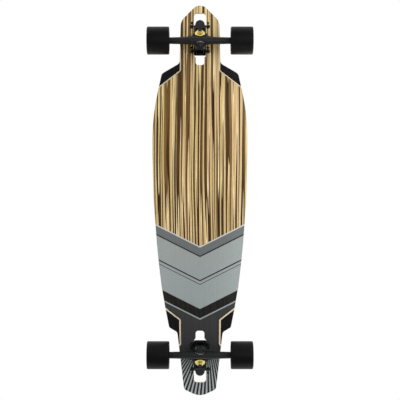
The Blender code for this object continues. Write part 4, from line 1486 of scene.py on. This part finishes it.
def pivot_cup_mesh():
    """A lipped cup of urethane, open towards the hanger's nose."""
    inner = NOSE_RADIUS + 0.4 * MM
    back = CUP_LIP + CUP_LIP_THICKNESS
    profile = [
        (0, NOSE_TIP + 0.6 * MM),
        (0.8 * inner, NOSE_TIP - 0.9 * MM),
        (inner, CUP_LIP + 4.6 * MM),
        (inner, CUP_LIP + 0.6 * MM),
        (inner + 0.6 * MM, CUP_LIP),
        (CUP_LIP_RADIUS - 0.8 * MM, CUP_LIP),
        (CUP_LIP_RADIUS - 0.2 * MM, CUP_LIP + 0.25 * MM),
        (CUP_LIP_RADIUS, CUP_LIP + 0.8 * MM),
        (CUP_LIP_RADIUS, back - 0.2 * MM),
        (CUP_LIP_RADIUS - 0.2 * MM, back),
        (CUP_RADIUS, back),
        (CUP_RADIUS, CUP_BOTTOM),
        (0, CUP_BOTTOM),
    ]
    return turned(profile, 96, IN_PIVOT)


def bolt_mesh():
    """A button-head bolt with a hexagonal socket, threaded where it passes its nut."""
    head = FLANGE_TOP
    top = head + BOLT_HEAD_HEIGHT + 0.3 * MM
    flats = SOCKET_RADIUS * math.cos(math.pi / 6)
    button_steps = 8
    button_low = head + 0.6 * MM
    button_inner = SOCKET_RADIUS + 0.5 * MM
    profile = [(0, BOLT_END), (BOLT_RADIUS - 0.7 * MM, BOLT_END)]
    profile += thread(BOLT_RADIUS, BOLT_END + 0.5 * MM, BOLT_THREAD_TOP, pitch=0.8 * MM, depth=0.35 * MM)
    profile += [(BOLT_RADIUS, BOLT_THREAD_TOP + 0.4 * MM), (BOLT_RADIUS, head), (BOLT_HEAD_RADIUS, head)]
    for step in range(button_steps + 1):
        turn = math.pi / 2 * step / button_steps
        radius = button_inner + (BOLT_HEAD_RADIUS - button_inner) * math.cos(turn)
        profile.append((radius, button_low + (top - button_low) * math.sin(turn)))
    profile += [
        (SOCKET_RADIUS + 0.15 * MM, top),
        (SOCKET_RADIUS + 0.2 * MM, top - 0.25 * MM, flats),
        (SOCKET_RADIUS + 0.2 * MM, top - SOCKET_DEPTH, flats),
        (0, top - SOCKET_DEPTH - 0.5 * MM),
    ]

    # The socket takes the dark steel as painted shade inside it; the shank below the head takes the dark
    # steel too.
    def dark_socket_or_shank(face):
        in_socket = face.center.xy.length < SOCKET_RADIUS and face.center.z < top - 0.2 * MM
        return in_socket or face.center.z < head - 0.1 * MM

    return sort_faces(turned(profile, 72), dark_socket_or_shank)


def axle_mesh():
    """A plain axle through the hanger, with a threaded and chamfered end on each side."""
    start = AXLE_HALF - AXLE_THREAD
    right = [(AXLE_RADIUS, start - 0.5 * MM)]
    right += thread(AXLE_RADIUS, start, AXLE_HALF - 0.8 * MM)
    right.append((AXLE_RADIUS - 1.2 * MM, AXLE_HALF))
    left = [(radius, -x) for radius, x in reversed(right)]
    return turned([(0, -AXLE_HALF)] + left + right + [(0, AXLE_HALF)], 64, ACROSS)


def wheel_mesh():
    """A urethane wheel about X: rounded lips, dished sides and a stiff core round the bearings."""
    seat = BEARING_RADIUS + 0.1 * MM
    first_stop = INNER_BEARING_X + BEARING_WIDTH + 0.3 * MM
    second_stop = first_stop + SPACER_LENGTH - 0.6 * MM
    core_in = INNER_BEARING_X - 1.5 * MM
    core_out = second_stop + BEARING_WIDTH + 1.5 * MM
    corners = [
        (seat, core_in + 0.6 * MM, 0),
        (seat + 0.5 * MM, core_in, 0),
        (CORE_RADIUS, core_in, 0.8 * MM),
    ]
    for inward, core_end in ((1, core_in), (-1, core_out)):
        face = WHEEL_X - inward * WHEEL_WIDTH / 2
        groove_floor = face + inward * 0.5 * MM
        dish = [
            (CORE_RADIUS + 0.8 * MM, core_end + inward * 0.9 * MM, 0.5 * MM),
            (LIP_INNER - 2 * MM, face + inward * 1.6 * MM, 4 * MM),
            (LIP_INNER, face, 0.8 * MM),
            (LIP_GROOVE, face, 0.2 * MM),
            (LIP_GROOVE + 0.3 * MM, groove_floor, 0.1 * MM),
            (LIP_GROOVE + 1.0 * MM, groove_floor, 0.1 * MM),
            (LIP_GROOVE + 1.3 * MM, face, 0.2 * MM),
            (LIP_OUTER, face, 0.8 * MM),
            (WHEEL_RADIUS, face + inward * 1.8 * MM, 1.6 * MM),
        ]
        corners += dish if inward > 0 else reversed(dish)
    corners += [
        (CORE_RADIUS, core_out, 0.8 * MM),
        (seat + 0.5 * MM, core_out, 0),
        (seat, core_out - 0.6 * MM, 0),
        (seat, second_stop, 0),
        (CORE_WEB, second_stop, 0),
        (CORE_WEB, first_stop, 0),
        (seat, first_stop, 0),
    ]
    mesh = turned(rounded(corners, closed=True, arc_step=math.radians(12)), 160, ACROSS)
    return sort_faces(mesh, lambda face: face.center.yz.length < CORE_RADIUS + 0.4 * MM)


def bearing_mesh(start):
    """A bearing's two races with a shield between them, set back at both sides."""
    end = start + BEARING_WIDTH
    soft = 0.3 * MM
    slope = 0.2 * MM
    profile = [(BEARING_BORE, start + soft), (BEARING_BORE + soft, start), (SHIELD_INNER - slope, start)]
    profile += [(SHIELD_INNER, start + soft), (SHIELD_OUTER, start + soft), (SHIELD_OUTER + slope, start)]
    profile += [(BEARING_RADIUS - soft, start), (BEARING_RADIUS, start + soft)]
    profile += [(radius, start + end - x) for radius, x in reversed(profile)]
    mesh = turned(profile, 72, ACROSS)
    edge = 0.05 * MM
    return sort_faces(
        mesh, lambda face: SHIELD_INNER - edge < face.center.yz.length < SHIELD_OUTER + edge
    )


def speed_ring_mesh(start):
    soft = 0.2 * MM
    end = start + SPEED_RING_THICKNESS
    corners = [
        (BEARING_BORE, start, soft),
        (SPEED_RING_RADIUS, start, soft),
        (SPEED_RING_RADIUS, end, soft),
        (BEARING_BORE, end, soft),
    ]
    return turned(rounded(corners, closed=True, arc_step=math.radians(30)), 64, ACROSS)


def placed(mesh, place):
    """A copy of a shape, put in its place."""
    copy = mesh.copy()
    copy.transform(place)
    return copy


def stand_in(node, mesh, body, finishes, slot):
    """A fine piece that rides a body and stands for a CAD node."""
    piece = piece_from(f"{node}_fine", mesh, body, [FINISHES[key] for key in finishes], slot)
    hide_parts(node)
    return piece


def fixed_shapes():
    """Shape, finishes and slot of each piece of a truck that stays with the board."""
    nut_bore = KINGPIN_RADIUS + NUT_PLAY
    nut = nut_mesh(KINGPIN_NUT_RADIUS, nut_bore, KINGPIN_NUT_START, KINGPIN_NUT_HEIGHT, ON_KINGPIN)
    return {
        "baseplate": (baseplate_mesh(), ["casting", "pocket"], "black_casting"),
        "kingpin": (kingpin_mesh(), ["black_steel"], "black_steel"),
        "kingpin_nut": (nut, ["brass"], "brass"),
        "washer_board": (washer_mesh(BOARD_BUSHING[0] - WASHER_PLAY, -1), ["brass"], "brass"),
        "washer_road": (washer_mesh(ROAD_BUSHING[1] + WASHER_PLAY, 1), ["brass"], "brass"),
        "pivot_cup": (pivot_cup_mesh(), ["cup"], "cup_urethane"),
    }


def make_trucks():
    shapes = fixed_shapes()
    hanger = hanger_mesh()
    axle = axle_mesh()
    bolt = bolt_mesh()
    lock_nut = nut_mesh(LOCK_NUT_RADIUS, BOLT_RADIUS + 0.05 * MM, LOCK_NUT_TOP, -LOCK_NUT_HEIGHT)
    # Each bushing's end at the baseplate, then its end at the hanger
    bushings = {"bushing_board": BOARD_BUSHING, "bushing_road": ROAD_BUSHING[::-1]}
    for name, centre, facing in truck_centres():
        turn = Matrix.Rotation(0 if facing > 0 else math.pi, 4, "Z")
        place = Matrix.Translation((0, centre - facing * AXLE_INBOARD, WHEEL_RADIUS)) @ turn
        steered = f"{name}_hanger_body"
        for part, (mesh, finishes, slot) in shapes.items():
            stand_in(f"{name}_{part}", placed(mesh, place), "board", finishes, slot)
        for index, (x, y) in enumerate(bolt_places(), 1):
            at_bolt = place @ Matrix.Translation((x, AXLE_INBOARD + y, 0))
            finishes = ["bolt_steel", "black_steel"]
            stand_in(f"{name}_bolt_{index}", placed(bolt, at_bolt), "board", finishes, "steel")
            nut = placed(lock_nut, at_bolt)
            stand_in(f"{name}_lock_nut_{index}", nut, "board", ["black_steel"], "black_steel")
        for part, heights in bushings.items():
            mesh = placed(bushing_mesh(min(heights), max(heights)), place)
            piece = stand_in(f"{name}_{part}", mesh, None, ["bushing"], "bushing_urethane")
            ends = [tuple(place @ ON_KINGPIN @ Vector((0, 0, height))) for height in heights]
            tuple(ends[0])
            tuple(ends[1])
            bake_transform(piece)
        stand_in(f"{name}_hanger", placed(hanger, place), steered, ["casting"], "black_casting")
        stand_in(f"{name}_axle", placed(axle, place), steered, ["steel"], "steel")
        make_wheels(name, place, facing, steered)


def make_wheels(name, place, facing, steered):
    """Both wheels of a truck, with their bearings, speed rings, spacers and nuts."""
    outer_x = INNER_BEARING_X + BEARING_WIDTH + SPACER_LENGTH
    bearings = {"inner": INNER_BEARING_X, "outer": outer_x}
    rings = {
        "inner": INNER_BEARING_X - SPEED_RING_THICKNESS - RING_PLAY,
        "outer": outer_x + BEARING_WIDTH + RING_PLAY,
    }
    nut_start = rings["outer"] + SPEED_RING_THICKNESS + NUT_PLAY
    nut_bore = AXLE_RADIUS + NUT_PLAY
    for side in (-1, 1):
        label = f"{name}_{'right' if side * facing > 0 else 'left'}"
        spun = f"{label}_wheel_body"
        there = place @ Matrix.Rotation(0 if side > 0 else math.pi, 4, "Y")
        stand_in(f"{label}_wheel", placed(wheel_mesh(), there), spun, ["wheel", "core"], "urethane")
        for which, x in bearings.items():
            bearing = placed(bearing_mesh(x), there)
            stand_in(f"{label}_bearing_{which}", bearing, spun, ["steel", "shield"], "steel")
        for which, x in rings.items():
            ring = placed(speed_ring_mesh(x), there)
            piece_from(f"{label}_speed_ring_{which}", ring, steered, [FINISHES["steel"]], "steel")
        nut = nut_mesh(AXLE_NUT_RADIUS, nut_bore, nut_start, AXLE_NUT_HEIGHT, ACROSS)
        stand_in(f"{label}_axle_nut", placed(nut, there), steered, ["steel"], "steel")
        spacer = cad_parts[f"{label}_spacer"]
        spacer.data.materials.clear()
        spacer.data.materials.append(FINISHES["steel"])


# Stage

WHITE = (1, 1, 1, 1)
FLOOR_HALF = 12.0
FLOOR_Z = -0.4 * MM
FLOOR_TONES = [(0.3, (0.83, 0.83, 0.83, 1)), (0.7, (0.86, 0.86, 0.86, 1))]
FLOOR_LIFT = 0.24  # how much whiter the floor is to the camera and in reflections
FAR_FLOOR_LIFT = 0.62  # and the same away from the lamps
NEAR = 0.4  # how far from the middle the lift starts to change, and where it has changed
FAR = 1.8
WORLD_LIGHT = 0.55  # strength of the world's light on the board
LAMP_TARGET = Vector((0, 0, 0.06))
# Lamps: place, width and power of each
LAMPS = {
    "key_above": ((-1.3, -0.9, 1.9), 1.8, 26),
    "fill_above": ((1.6, 0.9, 1.5), 2.0, 12),
    "key_below": ((-0.9, 0.7, -1.7), 1.6, 26),
    "fill_below": ((1.2, -0.7, -1.5), 1.8, 14),
}


def shown(tree, rays):
    """One for a ray of the camera, a reflection or glass, which sees the background, else zero."""
    through = maths(tree, "MAXIMUM", rays["Is Camera Ray"], rays["Is Transmission Ray"])
    return maths(tree, "MAXIMUM", through, rays["Is Glossy Ray"])


def floor_finish():
    """Pale and slightly mottled, and clear to rays from below and to those that look for a lamp."""
    material, tree, shader = new_material("Pale floor")
    mottle = noise(tree, stretched(tree), 2.0, detail=3)
    feed(tree, shader.inputs["Base Color"], ramp(tree, mottle, FLOOR_TONES))
    shader.inputs["Roughness"].default_value = 0.9
    shader.inputs["Specular IOR Level"].default_value = 0.1
    shader.inputs["Emission Color"].default_value = WHITE
    rays = add_node(tree, "ShaderNodeLightPath").outputs
    away = vector_maths(tree, "LENGTH", on_piece(tree))["Value"]
    lift = spread(tree, away, NEAR, FAR, FLOOR_LIFT, FAR_FLOOR_LIFT)
    feed(tree, shader.inputs["Emission Strength"], times(tree, shown(tree, rays), lift))
    from_below = add_node(tree, "ShaderNodeNewGeometry").outputs["Backfacing"]
    clear_to = maths(tree, "MAXIMUM", from_below, rays["Is Shadow Ray"])
    clear = add_node(tree, "ShaderNodeBsdfTransparent").outputs[0]
    chosen = add_node(tree, "ShaderNodeMixShader", {0: clear_to, 1: shader.outputs[0], 2: clear})
    feed(tree, tree.nodes["Material Output"].inputs["Surface"], chosen.outputs[0])
    return material


def make_floor():
    """A pale floor that is clear from below and lets the lamps under it reach the board."""
    corners = [(x * FLOOR_HALF, y * FLOOR_HALF, FLOOR_Z) for x, y in ((-1, -1), (1, -1), (1, 1), (-1, 1))]
    floor = in_scene("floor", bpy.data.meshes.new("floor"))
    floor.data.from_pydata(corners, [], [(0, 1, 2, 3)])
    floor.data.materials.append(floor_finish())


def make_world():
    """White where the camera or a reflection sees it, and an even pale light elsewhere."""
    world = bpy.data.worlds.new("studio")
    bpy.context.scene.world = world
    world.use_nodes = True
    tree = world.node_tree
    background = tree.nodes["Background"]
    rays = add_node(tree, "ShaderNodeLightPath").outputs
    strength = spread(tree, shown(tree, rays), 0, 1, WORLD_LIGHT, 1.0)
    feed(tree, background.inputs["Strength"], strength)
    background.inputs["Color"].default_value = WHITE


def make_lamps():
    """Soft square lamps that shine at the board from above and from below."""
    for name, (place, size, power) in LAMPS.items():
        lamp = bpy.data.lights.new(name, "AREA")
        lamp.shape = "SQUARE"
        lamp.size = size
        lamp.energy = power
        held = in_scene(name, lamp)
        held.location = place
        held.rotation_euler = (LAMP_TARGET - Vector(place)).to_track_quat("-Z", "Y").to_euler()
        held.visible_camera = False


def make_camera():
    """Straight below the board with the nose up, as in the left half of the photograph."""
    data = bpy.data.cameras.new("camera")
    data.angle = 2 * math.atan(PHOTO_WIDTH / 2 / CAMERA_DISTANCE)
    camera = in_scene("camera", data)
    camera.location = (0, PHOTO_MIDDLE_Y, DECK_BOTTOM - CAMERA_DISTANCE)
    camera.rotation_euler = (0, math.pi, 0)
    bpy.context.scene.camera = camera


def main():
    bpy.context.scene.view_settings.view_transform = "Standard"
    make_camera()
    make_world()
    make_floor()
    make_lamps()
    make_deck()
    make_grip_tape()
    make_medallion()
    make_trucks()


main()
